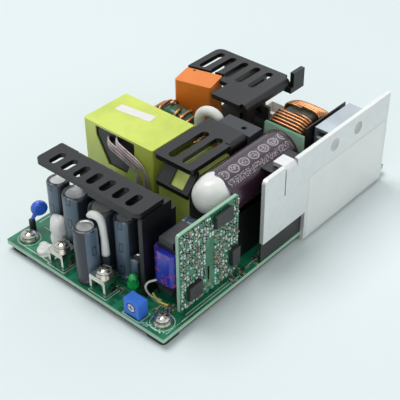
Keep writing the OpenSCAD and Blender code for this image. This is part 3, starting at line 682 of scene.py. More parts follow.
def boxes(centres: np.ndarray, halves: np.ndarray, turns: np.ndarray | float = 0.0) -> Mesh:
    """Makes many boxes, each turned about +Z.

    A corner is centre + R(turn) (sign * half), with sign one of CORNERS.

    Args:
        centres: N by 3.
        halves: N by 3 half sizes.
        turns: N angles in radians, or one for all.

    Returns:
        One mesh.
    """
    local = CORNERS[None, :, :] * halves[:, None, :]
    angle = np.broadcast_to(np.asarray(turns, dtype=float), (len(centres),))[:, None]
    x = local[..., 0] * np.cos(angle) - local[..., 1] * np.sin(angle)
    y = local[..., 0] * np.sin(angle) + local[..., 1] * np.cos(angle)
    points = np.stack([x, y, local[..., 2]], axis=-1) + centres[:, None, :]
    faces = SIDES[None, :, :] + 8 * np.arange(len(centres))[:, None, None]
    return points.reshape(-1, 3), faces.reshape(-1, 4)


def slab(centre: Triple, half: Triple, turn: float = 0.0) -> Mesh:
    """Returns one box with that centre and half size, turned about +Z."""
    return boxes(np.array([centre]), np.array([half]), turn)


def sweep(
    path: np.ndarray,
    radius: np.ndarray | float,
    sides: int = 10,
    closed: bool = False,
    up: Triple | np.ndarray = (0.0, 0.0, 1.0),
) -> Mesh:
    """Makes a round tube along a path.

    At each path point with tangent t the ring is p + r (n cos a + b sin a),
    where n is up with its part along t taken out, made unit, and b = t x n.

    Args:
        path: N by 3 points.
        radius: one radius, or one for each point.
        sides: points round a ring.
        closed: whether the path's ends join.
        up: reference direction, one or N, never along the path.

    Returns:
        The tube, with flat ends where it isn't closed.
    """
    if closed:
        tangent = np.roll(path, -1, axis=0) - np.roll(path, 1, axis=0)
    else:
        tangent = np.gradient(path, axis=0)
    tangent /= np.linalg.norm(tangent, axis=1, keepdims=True)
    ref = np.broadcast_to(np.asarray(up, dtype=float), path.shape)
    normal = ref - tangent * (ref * tangent).sum(axis=1, keepdims=True)
    normal /= np.linalg.norm(normal, axis=1, keepdims=True)
    other = np.cross(tangent, normal)
    angle = np.linspace(0, 2 * math.pi, sides, endpoint=False)[None, :, None]
    size = np.broadcast_to(np.asarray(radius, dtype=float), (len(path),))[:, None, None]
    ring = normal[:, None, :] * np.cos(angle) + other[:, None, :] * np.sin(angle)
    points = path[:, None, :] + size * ring
    count = len(path)
    last = count if closed else count - 1
    i, j = np.meshgrid(np.arange(last), np.arange(sides), indexing="ij")
    k, m = (i + 1) % count, (j + 1) % sides
    quads = np.stack([i * sides + j, i * sides + m, k * sides + m, k * sides + j], axis=-1)
    faces = quads.reshape(-1, 4).tolist()
    if not closed:
        faces.append(list(range(sides))[::-1])
        faces.append(list(range((count - 1) * sides, count * sides)))
    return points.reshape(-1, 3), faces


def spline(points: np.ndarray, steps: int = 8) -> np.ndarray:
    """Draws a Catmull-Rom curve: cubics whose slopes join the neighbours.

    Args:
        points: what it passes through.
        steps: points on each stretch.

    Returns:
        The curve's points.
    """
    ends = np.concatenate([2 * points[:1] - points[1:2], points, 2 * points[-1:] - points[-2:-1]])
    t = np.linspace(0, 1, steps, endpoint=False)[:, None]
    runs = []
    for a, b, c, d in zip(ends, ends[1:], ends[2:], ends[3:]):
        square = (2 * a - 5 * b + 4 * c - d) * t**2
        cube = (3 * b - a - 3 * c + d) * t**3
        runs.append(0.5 * (2 * b + (c - a) * t + square + cube))
    return np.concatenate([*runs, points[-1:]])


def blob(centre: np.ndarray, radii: np.ndarray, lump: float, seed: int, rings: int = 20) -> Mesh:
    """Makes a lumpy closed ball: radius times 1 + lump times three sines.

    Args:
        centre: its middle.
        radii: half sizes on X, Y and Z.
        lump: share by which the radius wanders.
        seed: chooses the sines' phases.
        rings: rings from pole to pole.

    Returns:
        The ball.
    """
    phase = np.random.default_rng(seed).uniform(0, 6.28, 3)
    sides = rings * 2
    polar = np.linspace(0, math.pi, rings + 1)[1:-1][:, None]
    turn = np.linspace(0, 2 * math.pi, sides, endpoint=False)[None, :]
    waves = np.sin(3 * turn + phase[0]) * np.sin(polar)
    waves = waves + np.sin(2 * turn + 4 * polar + phase[1]) + np.sin(5 * polar + phase[2])
    ripple = 1 + lump * waves / 2
    unit = np.stack([
        np.sin(polar) * np.cos(turn),
        np.sin(polar) * np.sin(turn),
        np.cos(polar) * np.ones_like(turn),
    ], axis=-1)
    body = centre + radii * unit * ripple[..., None]
    pole = radii * np.array([0, 0, 1.0])
    points = np.concatenate([body.reshape(-1, 3), (centre + pole)[None], (centre - pole)[None]])
    rows = rings - 1
    i, j = np.meshgrid(np.arange(rows - 1), np.arange(sides), indexing="ij")
    k, m = i + 1, (j + 1) % sides
    quads = np.stack([i * sides + j, k * sides + j, k * sides + m, i * sides + m], axis=-1)
    faces = quads.reshape(-1, 4).tolist()
    faces += [[rows * sides, k, (k + 1) % sides] for k in range(sides)]
    low = (rows - 1) * sides
    faces += [[rows * sides + 1, low + (k + 1) % sides, low + k] for k in range(sides)]
    return points, faces


def bead(route: list | tuple, widths: tuple[float, ...], up: Triple) -> Mesh:
    """Makes a soft bead whose thickness changes along its route.

    Args:
        route: the points that it passes through.
        widths: its radius at each of them, straight between.
        up: reference direction, never along the route.

    Returns:
        The bead.
    """
    steps = 8
    last = len(route) - 1
    radius = np.interp(np.linspace(0, last, last * steps + 1), np.arange(last + 1), widths)
    return sweep(spline(np.array(route), steps), radius, 14, False, up)


def extent(node: str) -> tuple[np.ndarray, np.ndarray]:
    """Returns a CAD node's lowest and highest corners in millimetres."""
    low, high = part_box(node)
    return np.array(low) / MM, np.array(high) / MM


def dress(frame: dict, node: str, material: bpy.types.Material) -> None:
    """Gives a CAD node one material on all its slots.

    Args:
        node: the node's name.
        material: its material.
    """
    mesh = frame["nodes"][node].data
    mesh.materials.clear()
    mesh.materials.append(material)
    LOG.info("%s: %s", node, material.name)


def dress_all(frame: dict, looks: Looks) -> None:
    """Dresses nodes by a table.

    Args:
        looks: each finish with the nodes that share it.
    """
    for finish, nodes in looks:
        material = finish.build()
        for node in nodes:
            dress(frame, node, material)


# ---------- sub-assemblies ----------


@dataclass
class MainBoard:
    """The board, its tray and fasteners, and the small parts on it.

    Lines and fields on the board are (x0, y0, x1, y1).

    Args:
        top: height of the board's top face.
        silk_h: thickness of the print.
        silk_half: half width of a printed line.
        washer_r: radius of a board screw's washer.
        ring_r: radius of the ring printed round it.
        ring_wire: half width of that ring.
        outline_gap: gap from a part to the outline round it.
        edge_gap: gap that an outline keeps from the board's edge.
        lines: printed lines.
        seed: seed of the small parts.
        step: grid that small parts stand on.
        spacing: gap that small parts keep from a large one.
        rise: height of a small part's middle over the board.
        body: half size of a small part's body.
        ends: half size of its solder ends.
        wing: the front heatsink's foot.
        fields: where small parts are spread, and how many.
        screw_zone: width kept free at the right board screw.
        looks: finishes and their nodes.
    """

    frame: dict
    top: float
    silk_h: float = 0.03
    silk_half: float = 0.12
    washer_r: float = 3.2
    ring_r: float = 4.1
    ring_wire: float = 0.11
    outline_gap: float = 0.5
    edge_gap: float = 0.3
    lines: tuple[Span, ...] = (
        (21.5, -50.4, 24.4, -50.4), (22.0, -52.0, 31.8, -52.6), (28.2, -61.6, 35.0, -61.6),
        (36.9, -57.0, 36.9, -24.0), (35.8, -50.5, 35.8, -30.0), (-33.0, -50.0, -27.5, -50.0),
        (-36.6, -49.5, -36.6, -44.0), (-33.5, -61.8, -18.0, -61.8), (35.6, -20.0, 35.6, 6.0),
    )
    seed: int = 7
    step: tuple[float, float] = (1.5, 1.0)
    spacing: float = 1.0
    rise: float = 0.25
    body: Triple = (0.38, 0.3, 0.24)
    ends: Triple = (0.62, 0.28, 0.2)
    wing: Span = (17.2, -53.5, 21.2, -36.0)
    fields: tuple[tuple[Span, int], ...] = (
        ((15.4, -51.2, 32.0, -45.0), 90), ((26.9, -56.9, 31.2, -51.2), 26),
        ((11.6, -57.6, 13.9, -53.0), 8), ((34.6, -30.0, 37.2, 6.0), 60),
    )
    screw_zone: float = 7.5
    looks: Looks = (
        (Finish("tray_black", (0.006, 0.006, 0.007), 0.42, depth=0.00002), ("insulation_tray",)),
    )

    def build(self) -> None:
        """Dresses the CAD nodes and adds print and small parts."""
        dress(self.frame, "main_board", BoardFinish("board_resist").build())
        dress_all(self.frame, self.looks)
        self.print_lines()
        self.small_parts()

    def print_lines(self) -> None:
        """Adds white rings, outlines and dashes, without lettering."""
        white = Finish("print_white", (0.62, 0.70, 0.66), 0.6, spread=0.08).build()
        low, high = extent("board_screws")
        angle = np.linspace(0, 2 * math.pi, 40, endpoint=False)
        height = np.full(len(angle), self.top + 0.01)
        parts = []
        for x in (low[0] + self.washer_r, high[0] - self.washer_r):
            around = x + self.ring_r * np.cos(angle)
            across = low[1] + self.washer_r + self.ring_r * np.sin(angle)
            ring = np.stack([around, across, height], axis=1)
            parts.append(sweep(ring, self.ring_wire, 4, True))
        spans = [
            span
            for node in ("trimmer_body", "output_terminal_1", "output_terminal_2")
            for span in self.outline(node)
        ]
        for x0, y0, x1, y1 in [*spans, *self.lines, *self.dashes()]:
            centre = ((x0 + x1) / 2, (y0 + y1) / 2, self.top + self.silk_h / 2)
            half = (math.hypot(x1 - x0, y1 - y0) / 2, self.silk_half, self.silk_h / 2)
            parts.append(slab(centre, half, math.atan2(y1 - y0, x1 - x0)))
        add_piece("board_print", merged(parts), white, False)

    def dashes(self) -> list[Span]:
        """Returns rows of short dashes by the front right corner."""
        pairs = [
            (x, -61.9 + 0.9 * (i % 2), x + 0.55, -61.9 + 0.9 * (i % 2))
            for i, x in enumerate(np.arange(27.5, 36.0, 0.9))
        ]
        upright = [(36.9, y, 36.9, y + 0.55) for y in np.arange(-61.0, -54.0, 0.95)]
        slanted = [(x, -62.6, x + 0.5, -62.2) for x in np.arange(27.2, 30.0, 0.8)]
        return pairs + upright + slanted

    def outline(self, node: str) -> list[Span]:
        """Works out the printed rectangle round a node.

        Args:
            node: the node's name.

        Returns:
            The rectangle's four sides.
        """
        low, high = extent(node)
        x0, y0 = low[0] - self.outline_gap, low[1] - self.outline_gap
        x1, y1 = high[0] + self.outline_gap, high[1] + self.outline_gap
        y0 = max(y0, extent("main_board")[0][1] + self.edge_gap)
        return [(x0, y0, x1, y0), (x1, y0, x1, y1), (x1, y1, x0, y1), (x0, y1, x0, y0)]

    def clear_of_parts(self, spots: np.ndarray) -> np.ndarray:
        """Finds the spots where no large part stands.

        Args:
            spots: N by 2 places on the board.

        Returns:
            N truth values.
        """
        taken = [extent(node) for node in ("aux_core", "trimmer_body", "power_led", "small_capacitor")]
        taken.append((np.array(self.wing[:2]), np.array(self.wing[2:])))
        low, high = extent("board_screws")
        low[0] = high[0] - self.screw_zone
        taken.append((low, high))
        clear = np.ones(len(spots), dtype=bool)
        for low, high in taken:
            past_low = spots > low[:2] - self.spacing
            under_high = spots < high[:2] + self.spacing
            clear &= ~np.all(past_low & under_high, axis=1)
        return clear

    def small_parts(self) -> None:
        """Adds surface-mount parts: solder ends with a dark or tan body."""
        rng = np.random.default_rng(self.seed)
        spots = np.concatenate([
            np.stack([rng.uniform(x0, x1, count), rng.uniform(y0, y1, count)], axis=1)
            for (x0, y0, x1, y1), count in self.fields
        ])
        step = np.array(self.step)
        spots = np.unique(np.round(spots / step) * step, axis=0)
        spots = spots[self.clear_of_parts(spots)]
        count = len(spots)
        turn = rng.integers(0, 2, count) * math.pi / 2
        centres = np.hstack([spots, np.full((count, 1), self.top + self.rise)])
        dark_ones = rng.random(count) < 0.5
        tin = Finish("solder_tin", (0.66, 0.68, 0.68), 0.3, 0.8, spread=0.15)
        dark = Finish("chip_dark", (0.03, 0.028, 0.026), 0.45)
        tan = Finish("chip_tan", (0.36, 0.25, 0.16), 0.5)
        for name, mask, half, finish, slot in (
            ("board_chip_ends", np.ones(count, dtype=bool), self.ends, tin, "header_pins"),
            ("board_resistors", dark_ones, self.body, dark, "black_epoxy"),
            ("board_chip_capacitors", ~dark_ones, self.body, tan, "small_parts"),
        ):
            halves = np.tile([half], (int(mask.sum()), 1))
            add_piece(name, boxes(centres[mask], halves, turn[mask]), finish.build(), False)


@dataclass
class ControlCard:
    """The upright board with its crowd of surface-mount parts.

    Args:
        seed: seed of the crowd.
        pitch: spacing of the parts along the card and up it.
        wander: how far a part stands off its place on the grid.
        crowd: share of the grid's places that are taken.
        slot_off: distance of the bare strip from the card's -Y edge.
        slot_half: half width of the bare strip.
        slot_h: height of the bare strip.
        chip_gap: gap that small parts keep from a moulded chip.
        chips: each chip's corner along and up the card, and its size.
        foot: how far the chips' origin lies under the card.
        pin_pitch: spacing of the header's solder dots.
        pin_half: half size of a solder dot.
        looks: finishes and their nodes.
    """

    frame: dict
    seed: int = 11
    pitch: tuple[float, float] = (1.35, 1.2)
    wander: float = 0.2
    crowd: float = 0.86
    slot_off: float = 14.6
    slot_half: float = 2.3
    slot_h: float = 22.0
    chip_gap: float = 0.7
    chips: tuple[Span, ...] = ((16.4, 26.4, 8.2, 4.6), (24.6, 5.6, 3.8, 7.0), (3.4, 4.6, 6.0, 5.6))
    foot: float = 1.5
    pin_pitch: float = 2.5
    pin_half: Triple = (0.35, 0.55, 0.5)
    looks: Looks = (
        (Finish("chip_epoxy", (0.022, 0.021, 0.022), 0.5), ("control_chips",)),
        (Finish("pin_plating", (0.66, 0.6, 0.42), 0.3, 0.9), ("control_header",)),
    )

    def build(self) -> None:
        """Dresses the board and replaces its plain chip parts by a crowd."""
        dress(self.frame, "control_board", BoardFinish("card_resist", True).build())
        dress_all(self.frame, self.looks)
        low, high = extent("control_board")
        rng = np.random.default_rng(self.seed)
        self.parts(self.places(low, high, rng), high[0], rng)
        self.pins(low, high)

    def places(self, low: np.ndarray, high: np.ndarray, rng: np.random.Generator) -> np.ndarray:
        """Spreads the small parts over the card, clear of strip and chips.

        Args:
            low: the card's lowest corner.
            high: its highest corner.
            rng: the crowd's random draws.

        Returns:
            N by 2 places, as y and z.
        """
        y = np.arange(low[1] + 1.0, high[1] - 0.8, self.pitch[0])
        z = np.arange(low[2] + 1.2, high[2] - 0.8, self.pitch[1])
        grid = np.stack(np.meshgrid(y, z, indexing="ij"), axis=-1).reshape(-1, 2)
        grid += rng.uniform(-self.wander, self.wander, grid.shape)
        keep = rng.random(len(grid)) < self.crowd
        in_strip = np.abs(grid[:, 0] - low[1] - self.slot_off) < self.slot_half
        keep &= ~(in_strip & (grid[:, 1] - low[2] < self.slot_h))
        origin = np.array([low[1], low[2] - self.foot])
        for along, up, long, tall in self.chips:
            first = origin + np.array([along, up])
            last = first + np.array([long, tall])
            keep &= ~np.all((grid > first - self.chip_gap) & (grid < last + self.chip_gap), axis=1)
        return grid[keep]

    def parts(self, grid: np.ndarray, face: float, rng: np.random.Generator) -> None:
        """Adds the crowd: solder ends, and dark, tan and pale bodies.

        Args:
            grid: N by 2 places, as y and z.
            face: x of the card's outer face.
            rng: the crowd's random draws.
        """
        kind = rng.integers(0, 5, len(grid))
        flip = rng.random(len(grid)) < 0.5
        wide = np.where(flip, 0.28, 0.46)
        tall = np.where(flip, 0.46, 0.28)
        deep = np.where(kind == 1, 0.42, 0.2)
        centres = np.column_stack([face + deep, grid])
        body = np.column_stack([
            deep,
            wide * np.where(flip, 1.0, 0.62),
            tall * np.where(flip, 0.62, 1.0),
        ])
        ends = np.column_stack([deep * 0.9, wide * 0.97, tall * 0.97])
        tin = Finish("card_solder", (0.74, 0.76, 0.75), 0.28, 0.75, spread=0.15).build()
        solder = add_piece("card_solder_ends", boxes(centres, ends), tin, False)
        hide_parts("control_passives")
        dark = Finish("card_dark", (0.03, 0.03, 0.03), 0.4)
        tan = Finish("card_tan", (0.33, 0.2, 0.11), 0.45)
        pale = Finish("card_pale", (0.68, 0.72, 0.68), 0.4)
        for name, mask, finish, slot in (
            ("card_resistors", (kind == 0) | (kind == 4), dark, "black_epoxy"),
            ("card_capacitors", kind == 1, tan, "small_parts"),
            ("card_pale_parts", kind >= 2, pale, "small_parts"),
        ):
            add_piece(name, boxes(centres[mask], body[mask]), finish.build(), False)

    def pins(self, low: np.ndarray, high: np.ndarray) -> None:
        """Adds the header pins' solder dots along the card's foot.

        Args:
            low: the card's lowest corner.
            high: its highest corner.
        """
        y = np.arange(low[1] + 2.8, high[1] - 2.0, self.pin_pitch)
        centres = np.column_stack([np.full(len(y), high[0] + 0.2), y, np.full(len(y), low[2] + 0.9)])
        halves = np.tile([self.pin_half], (len(y), 1))
        tin = Finish("pin_solder", (0.7, 0.72, 0.72), 0.25, 0.85).build()
        add_piece("card_pin_solder", boxes(centres, halves), tin, False)


@dataclass
class OutputEnd:
    """Terminals, trimmer, lamp, capacitors and front heatsink.

    Args:
        looks: finishes and their nodes.
        turns_deg: where each can's stripe stands.
    """

    frame: dict
    looks: Looks = (
        (Finish("zinc_plate", (0.60, 0.58, 0.53), 0.2, 1.0, spread=0.12, grain=2500.0),
         ("board_screws", "terminal_screws")),
        (Finish("tin_cage", (0.66, 0.65, 0.60), 0.16, 1.0, spread=0.1, grain=1500.0),
         ("output_terminal_1", "output_terminal_2", "terminal_washers")),
        (Finish("trimmer_blue", (0.035, 0.17, 0.70), 0.4, spread=0.08), ("trimmer_body",)),
        (Finish("rotor_plate", (0.62, 0.63, 0.62), 0.3, 0.9, spread=0.2), ("trimmer_rotor",)),
        (Finish("lens_green", (0.0, 0.33, 0.065), 0.18, coat=0.5, spread=0.1, glow=0.4), ("power_led",)),
        (Finish("disc_blue", (0.015, 0.11, 0.68), 0.22, coat=0.6, spread=0.08), ("disc_capacitor",)),
        (Finish("sleeve_black", (0.008, 0.008, 0.009), 0.5), ("lead_sleeve",)),
        (anodised("anodised_front"), ("front_heatsink",)),
        (epoxy("epoxy_black"), ("rectifier_transistors",)),
    )
    turns_deg: tuple[tuple[str, float], ...] = (
        ("output_capacitor_1", -85.0), ("output_capacitor_2", -78.0),
        ("output_capacitor_3", -70.0), ("output_capacitor_4", -72.0),
        ("front_capacitor", -6.0), ("small_capacitor", -85.0),
    )

    def build(self) -> None:
        """Dresses every node, with each can's stripe turned as it stands."""
        dress_all(self.frame, self.looks)
        for node, turn in self.turns_deg:
            sleeve = SleeveFinish("sleeve_" + node, turn_deg=turn)
            dress(self.frame, node, sleeve.build(*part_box(node)))


@dataclass
class Magnetics:
    """The main and standby transformers and the resonant choke.

    Args:
        looks: finishes and their nodes.
        bundles: each lead bundle's start, drop and reach past the right end.
        strands: strands in a bundle.
        strand_r: a strand's radius.
        strand_gap: spacing of the strands.
        label_off: middle of the label from the tape's low corner.
        label_half: half size of the label.
        label_turn_deg: how the label is turned.
        loop: the standby lead's route from the winding's low corner.
        loop_shift: from the white lead to the yellow one.
        lead_r: radius of the white lead and of the yellow one.
    """

    frame: dict
    looks: Looks = (
        (Finish("ferrite_grey", (0.03, 0.03, 0.032), 0.55),
         ("main_transformer_core", "resonant_core", "aux_core")),
        (Finish("bobbin_black", (0.008, 0.008, 0.009), 0.38, coat=0.1),
         ("main_transformer_bobbin", "resonant_bobbin", "aux_bobbin")),
    )
    bundles: tuple[Triple, Triple] = ((0.0, 1.6, -4.0), (4.2, 0.2, 0.0))
    strands: int = 7
    strand_r: float = 0.36
    strand_gap: float = 0.42
    label_off: tuple[float, float] = (12.3, 13.9)
    label_half: Triple = (7.75, 2.0, 0.05)
    label_turn_deg: float = 7.0
    loop: tuple[Triple, ...] = (
        (2.5, -0.2, 0.6), (0.2, -1.8, -0.8), (-0.7, -2.2, -3.6), (1.2, -1.8, -6.2), (4.6, -0.6, -7.0),
    )
    loop_shift: Triple = (3.4, -0.2, 0.0)
    lead_r: tuple[float, float] = (0.38, 0.34)

    def build(self) -> None:
        """Dresses the wound parts and adds leads and the blank label."""
        # each tape's second colour is painted shade, laid in the hollows of its folds
        yellow = TapeFinish("tape_yellow", (0.70, 0.82, 0.13), (0.50, 0.62, 0.07))
        pale = TapeFinish("tape_pale", (0.66, 0.77, 0.16), (0.38, 0.46, 0.09))
        dress(self.frame, "main_transformer_tape", yellow.build())
        dress(self.frame, "resonant_tape", pale.build())
        dress(self.frame, "aux_winding", WornPrint("winding_blue").build())
        dress_all(self.frame, self.looks)
        self.litz()
        self.label()
        self.lead_loops()

    def strand(self, low: np.ndarray, high: np.ndarray, bundle: Triple, number: int) -> Mesh:
        """Makes one strand, which leaves the window, leans over and drops.

        Args:
            low: lowest corner of the plain leads.
            high: their highest corner.
            bundle: the bundle's start, drop and reach.
            number: the strand's number in its bundle.

        Returns:
            The strand.
        """
        start, drop, over = bundle
        off = (number - (self.strands - 1) / 2) * self.strand_gap
        wave = 0.28 * math.sin(number * 2.1)
        y = (low[1] + high[1]) / 2
        left, knee, from_top = low[0] + start, high[0] + over - 1.3, high[2] - drop
        route = np.array([
            [left + 0.4, y + 1.7, from_top - 1.2 - off],
            [left + 3.0, y - 0.2 + wave, from_top - 2.0 - off],
            [knee - 3.0 - off * 0.5, y - 0.35 + wave, from_top - 5.6 - off * 0.7],
            [knee + off * 0.6, y - 0.3 - wave, from_top - 9.2 - abs(off)],
            [knee + off, y, low[2] + 9.0],
            [knee + off, y, low[2] + 0.1],
        ])
        return sweep(spline(route), self.strand_r, 7, False, (0.0, 1.0, 0.15))

    def litz(self) -> None:
        """Replaces the two plain leads by bundles of served strands."""
        served = Finish("litz_serving", (0.46, 0.38, 0.37), 0.42, 0.2, spread=0.3, grain=1800.0)
        low, high = extent("transformer_leads")
        strands = [
            self.strand(low, high, bundle, number)
            for bundle in self.bundles
            for number in range(self.strands)
        ]
        piece = add_piece("litz_bundles", merged(strands), served.build())
        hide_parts("transformer_leads")

    def label(self) -> None:
        """Lays a blank paper label on the tape's top."""
        low, high = extent("main_transformer_tape")
        paper = Finish("label_paper", (0.80, 0.80, 0.77), 0.6, spread=0.04).build()
        centre = (low[0] + self.label_off[0], low[1] + self.label_off[1], high[2] + 0.06)
        sheet = slab(centre, self.label_half, math.radians(self.label_turn_deg))
        add_piece("transformer_label", sheet, paper, False)

    def lead_loops(self) -> None:
        """Adds the standby winding's wire ends, looped down to the board."""
        white = Finish("wire_white", (0.74, 0.74, 0.70), 0.4).build()
        yellow = Finish("wire_yellow", (0.62, 0.60, 0.08), 0.4).build()
        first = extent("aux_winding")[0] + np.array(self.loop)
        second = first[2:] + np.array(self.loop_shift)
        up = (1.0, -1.0, 0.2)
        tube = sweep(spline(first), self.lead_r[0], 8, False, up)
        add_piece("standby_lead", tube, white)
        tube = sweep(spline(second), self.lead_r[1], 8, False, up)
        add_piece("standby_lead_2", tube, yellow)


@dataclass
class Middle:
    """Middle heatsink, its cover and jumper, and the bulk capacitor.

    Args:
        top: height of the board's top face.
        looks: finishes and their nodes.
        side_run: bead beside the bulk capacitor, from the side plate's face,
            the control board's edge and the board.
        side_widths: its radius at each of its points.
        front_run: bead over the capacitors, as x, y from the row's middle
            and z from the row's top.
        front_widths: its radius at each of its points.
        lumps: blobs at the front, as middle (x, y from the row's middle, z
            over the board), half size, lumpiness and seed.
    """

    frame: dict
    top: float
    looks: Looks = (
        (anodised("anodised_middle"), ("middle_heatsink",)),
        (epoxy("epoxy_middle"), ("switching_transistors",)),
        (Finish("cover_grey", (0.026, 0.031, 0.037), 0.5, spread=0.12), ("transistor_cover",)),
        (Finish("sleeving_white", (0.76, 0.77, 0.73), 0.6, spread=0.06, grain=1500.0, depth=0.0001),
         ("sleeved_jumper",)),
        (Finish("relay_black", (0.01, 0.01, 0.011), 0.4), ("relay",)),
    )
    side_run: tuple[Triple, ...] = (
        (-3.3, 9.5, 30.6), (-2.6, 6.5, 29.6), (-3.0, 4.6, 26.6),
        (-4.1, 4.0, 21.0), (-5.2, 4.2, 10.0), (-5.4, 3.6, 1.0),
    )
    side_widths: tuple[float, ...] = (1.1, 1.5, 1.3, 1.0, 1.1, 1.5)
    front_run: tuple[Triple, ...] = (
        (-2.4, -6.0, -0.6), (-0.6, -6.2, 0.9), (1.6, -6.2, 1.5),
        (3.1, -5.7, -0.2), (3.4, -5.2, -7.5), (3.4, -5.0, -14.6),
    )
    front_widths: tuple[float, ...] = (0.9, 1.3, 1.5, 1.35, 1.25, 1.5)
    lumps: tuple[tuple[Triple, Triple, float, int], ...] = (
        ((-20.0, -4.9, 9.6), (3.6, 3.2, 4.6), 0.08, 5),
        ((-20.0, -5.2, 4.0), (3.1, 2.8, 5.0), 0.08, 8),
        ((-22.6, -10.0, 0.1), (3.2, 3.4, 1.9), 0.16, 9),
        ((-25.2, -8.6, 0.1), (1.8, 2.2, 1.2), 0.2, 4),
    )

    def build(self) -> None:
        """Dresses the nodes and adds smooth silicone."""
        dress_all(self.frame, self.looks)
        dress(self.frame, "bulk_capacitor", RingSleeve("sleeve_bulk").build(*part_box("bulk_capacitor")))
        standby = SleeveFinish("sleeve_standby", (0.022, 0.03, 0.05), turn_deg=100.0)
        low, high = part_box("standby_capacitor")
        dress(self.frame, "standby_capacitor", standby.build(low, high, Axis.X))
        dress(self.frame, "bulk_capacitor_board", BoardFinish("bulk_board_resist").build())
        white = Finish("silicone_white", (0.80, 0.81, 0.78), 0.34, coat=0.15, spread=0.05, grain=400.0,
                       depth=0.00012, glow=0.15).build()
        self.dome(white)
        self.beads(white)

    def dome(self, white: bpy.types.Material) -> None:
        """Replaces the plain dome on the bulk capacitor by a lumpy one.

        Args:
            white: the silicone's material.
        """
        low, high = extent("silicone_dome")
        centre = np.array([(low[0] + high[0]) / 2, high[1] - 0.5, (low[2] + high[2]) / 2])
        half = np.array([(high[0] - low[0]) / 2, (high[1] - low[1]) * 0.92, (high[2] - low[2]) / 2])
        cap = add_piece("silicone_cap", blob(centre, half, 0.05, 3), white)
        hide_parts("silicone_dome")

    def beads(self, white: bpy.types.Material) -> None:
        """Replaces the plain beads by smooth runs and lumps.

        Args:
            white: the silicone's material.
        """
        side = np.array([extent("side_plate")[0][0], extent("control_board")[1][1], self.top])
        low, high = extent("output_capacitor_3")
        row_y = (low[1] + high[1]) / 2
        front = np.array([0.0, row_y, high[2]])
        parts = [
            bead(side + np.array(self.side_run), self.side_widths, (1.0, 0.3, 0.1)),
            bead(front + np.array(self.front_run), self.front_widths, (1.0, -0.2, 0.1)),
        ]
        foot = np.array([0.0, row_y, self.top])
        for middle, half, lump, seed in self.lumps:
            parts.append(blob(foot + np.array(middle), np.array(half), lump, seed))
        piece = add_piece("silicone_runs", merged(parts), white)
        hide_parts("silicone_beads")


@dataclass
class SideWall:
    """The side plate, what is fixed to it, and its blank label.

    Args:
        top: height of the board's top face.
        looks: finishes and their nodes.
        label_y: where the label begins and ends along the plate.
        label_z: the same up the plate, over the board.
    """

    frame: dict
    top: float
    looks: Looks = (
        (Finish("plate_aluminium", (0.72, 0.73, 0.72), 0.42, 0.55, 0.0, 0.03, 2500.0, 0.00001,
                (0.05, 1.0, 1.0)), ("side_plate",)),
        (Finish("screw_steel", (0.55, 0.53, 0.50), 0.3, 1.0, spread=0.2), ("plate_screws",)),
        (Finish("film_dark", (0.008, 0.008, 0.009), 0.35), ("plate_insulator", "barrier_sheet")),
        (Finish("bracket_zinc", (0.42, 0.47, 0.51), 0.3, 0.75, 0.2, 0.2, 300.0, 0.0002),
         ("rectifier_bracket",)),
        (Finish("bridge_black", (0.01, 0.01, 0.011), 0.5), ("bridge_rectifiers",)),
    )
    label_y: tuple[float, float] = (9.7, 57.0)
    label_z: tuple[float, float] = (-2.0, 24.0)

    def build(self) -> None:
        """Dresses the nodes and adds a thin blank film on the outer face."""
        dress_all(self.frame, self.looks)
        paper = Finish("label_film", (0.74, 0.75, 0.74), 0.32, 0.1, 0.2, 0.02, 800.0, 0.00001).build()
        y0, y1 = self.label_y
        z0, z1 = self.label_z
        face = extent("side_plate")[1][0]
        centre = (face + 0.04, (y0 + y1) / 2, self.top + (z0 + z1) / 2)
        film = slab(centre, (0.05, (y1 - y0) / 2, (z1 - z0) / 2))
        add_piece("plate_label", film, paper, False)


@dataclass(frozen=True)
class Coil:
    """Wire wound round a ring whose section is a rounded rectangle.

    Args:
        axis: the ring's axis.
        inner: radius of the winding's hole.
        outer: its outer radius.
        half: half its height along the axis.
        turns: number of turns.
        start_deg: where the winding begins round the ring.
        arc_deg: how far round it reaches.
        wire: the wire's radius.
    """

    axis: Axis
    inner: float
    outer: float
    half: float
    turns: int
    start_deg: float
    arc_deg: float
    wire: float

    @staticmethod
    def squared(wave: np.ndarray) -> np.ndarray:
        """Returns sign(wave) times the root of its size, to square a circle."""
        return np.sign(wave) * np.abs(wave) ** 0.5

    def mesh(self, centre: np.ndarray) -> Mesh:
        """Winds the wire.

        Round the section the angle is q, and the section's point is
        (r, w) = (rm + a f(cos q), b f(sin q)) with f the squared wave; the
        ring's angle grows with q, so each turn leans to the next.

        Args:
            centre: the ring's middle.

        Returns:
            The wire.
        """
        q = np.linspace(0, 2 * math.pi * self.turns, self.turns * 22 + 1)
        around = np.radians(self.start_deg) + np.radians(self.arc_deg) * q / q[-1]
        reach = (self.outer - self.inner) / 2 - self.wire
        radial = (self.inner + self.outer) / 2 + reach * self.squared(np.cos(q))
        offset = (self.half - self.wire) * self.squared(np.sin(q))
        c, s, zero = np.cos(around), np.sin(around), np.zeros_like(around)
        if self.axis == Axis.X:
            path = np.stack([offset, radial * c, radial * s], axis=1)
            ring_way = np.stack([zero, -s, c], axis=1)
        else:
            path = np.stack([radial * c, offset, radial * s], axis=1)
            ring_way = np.stack([-s, zero, c], axis=1)
        return sweep(centre + path, self.wire, 7, False, ring_way)


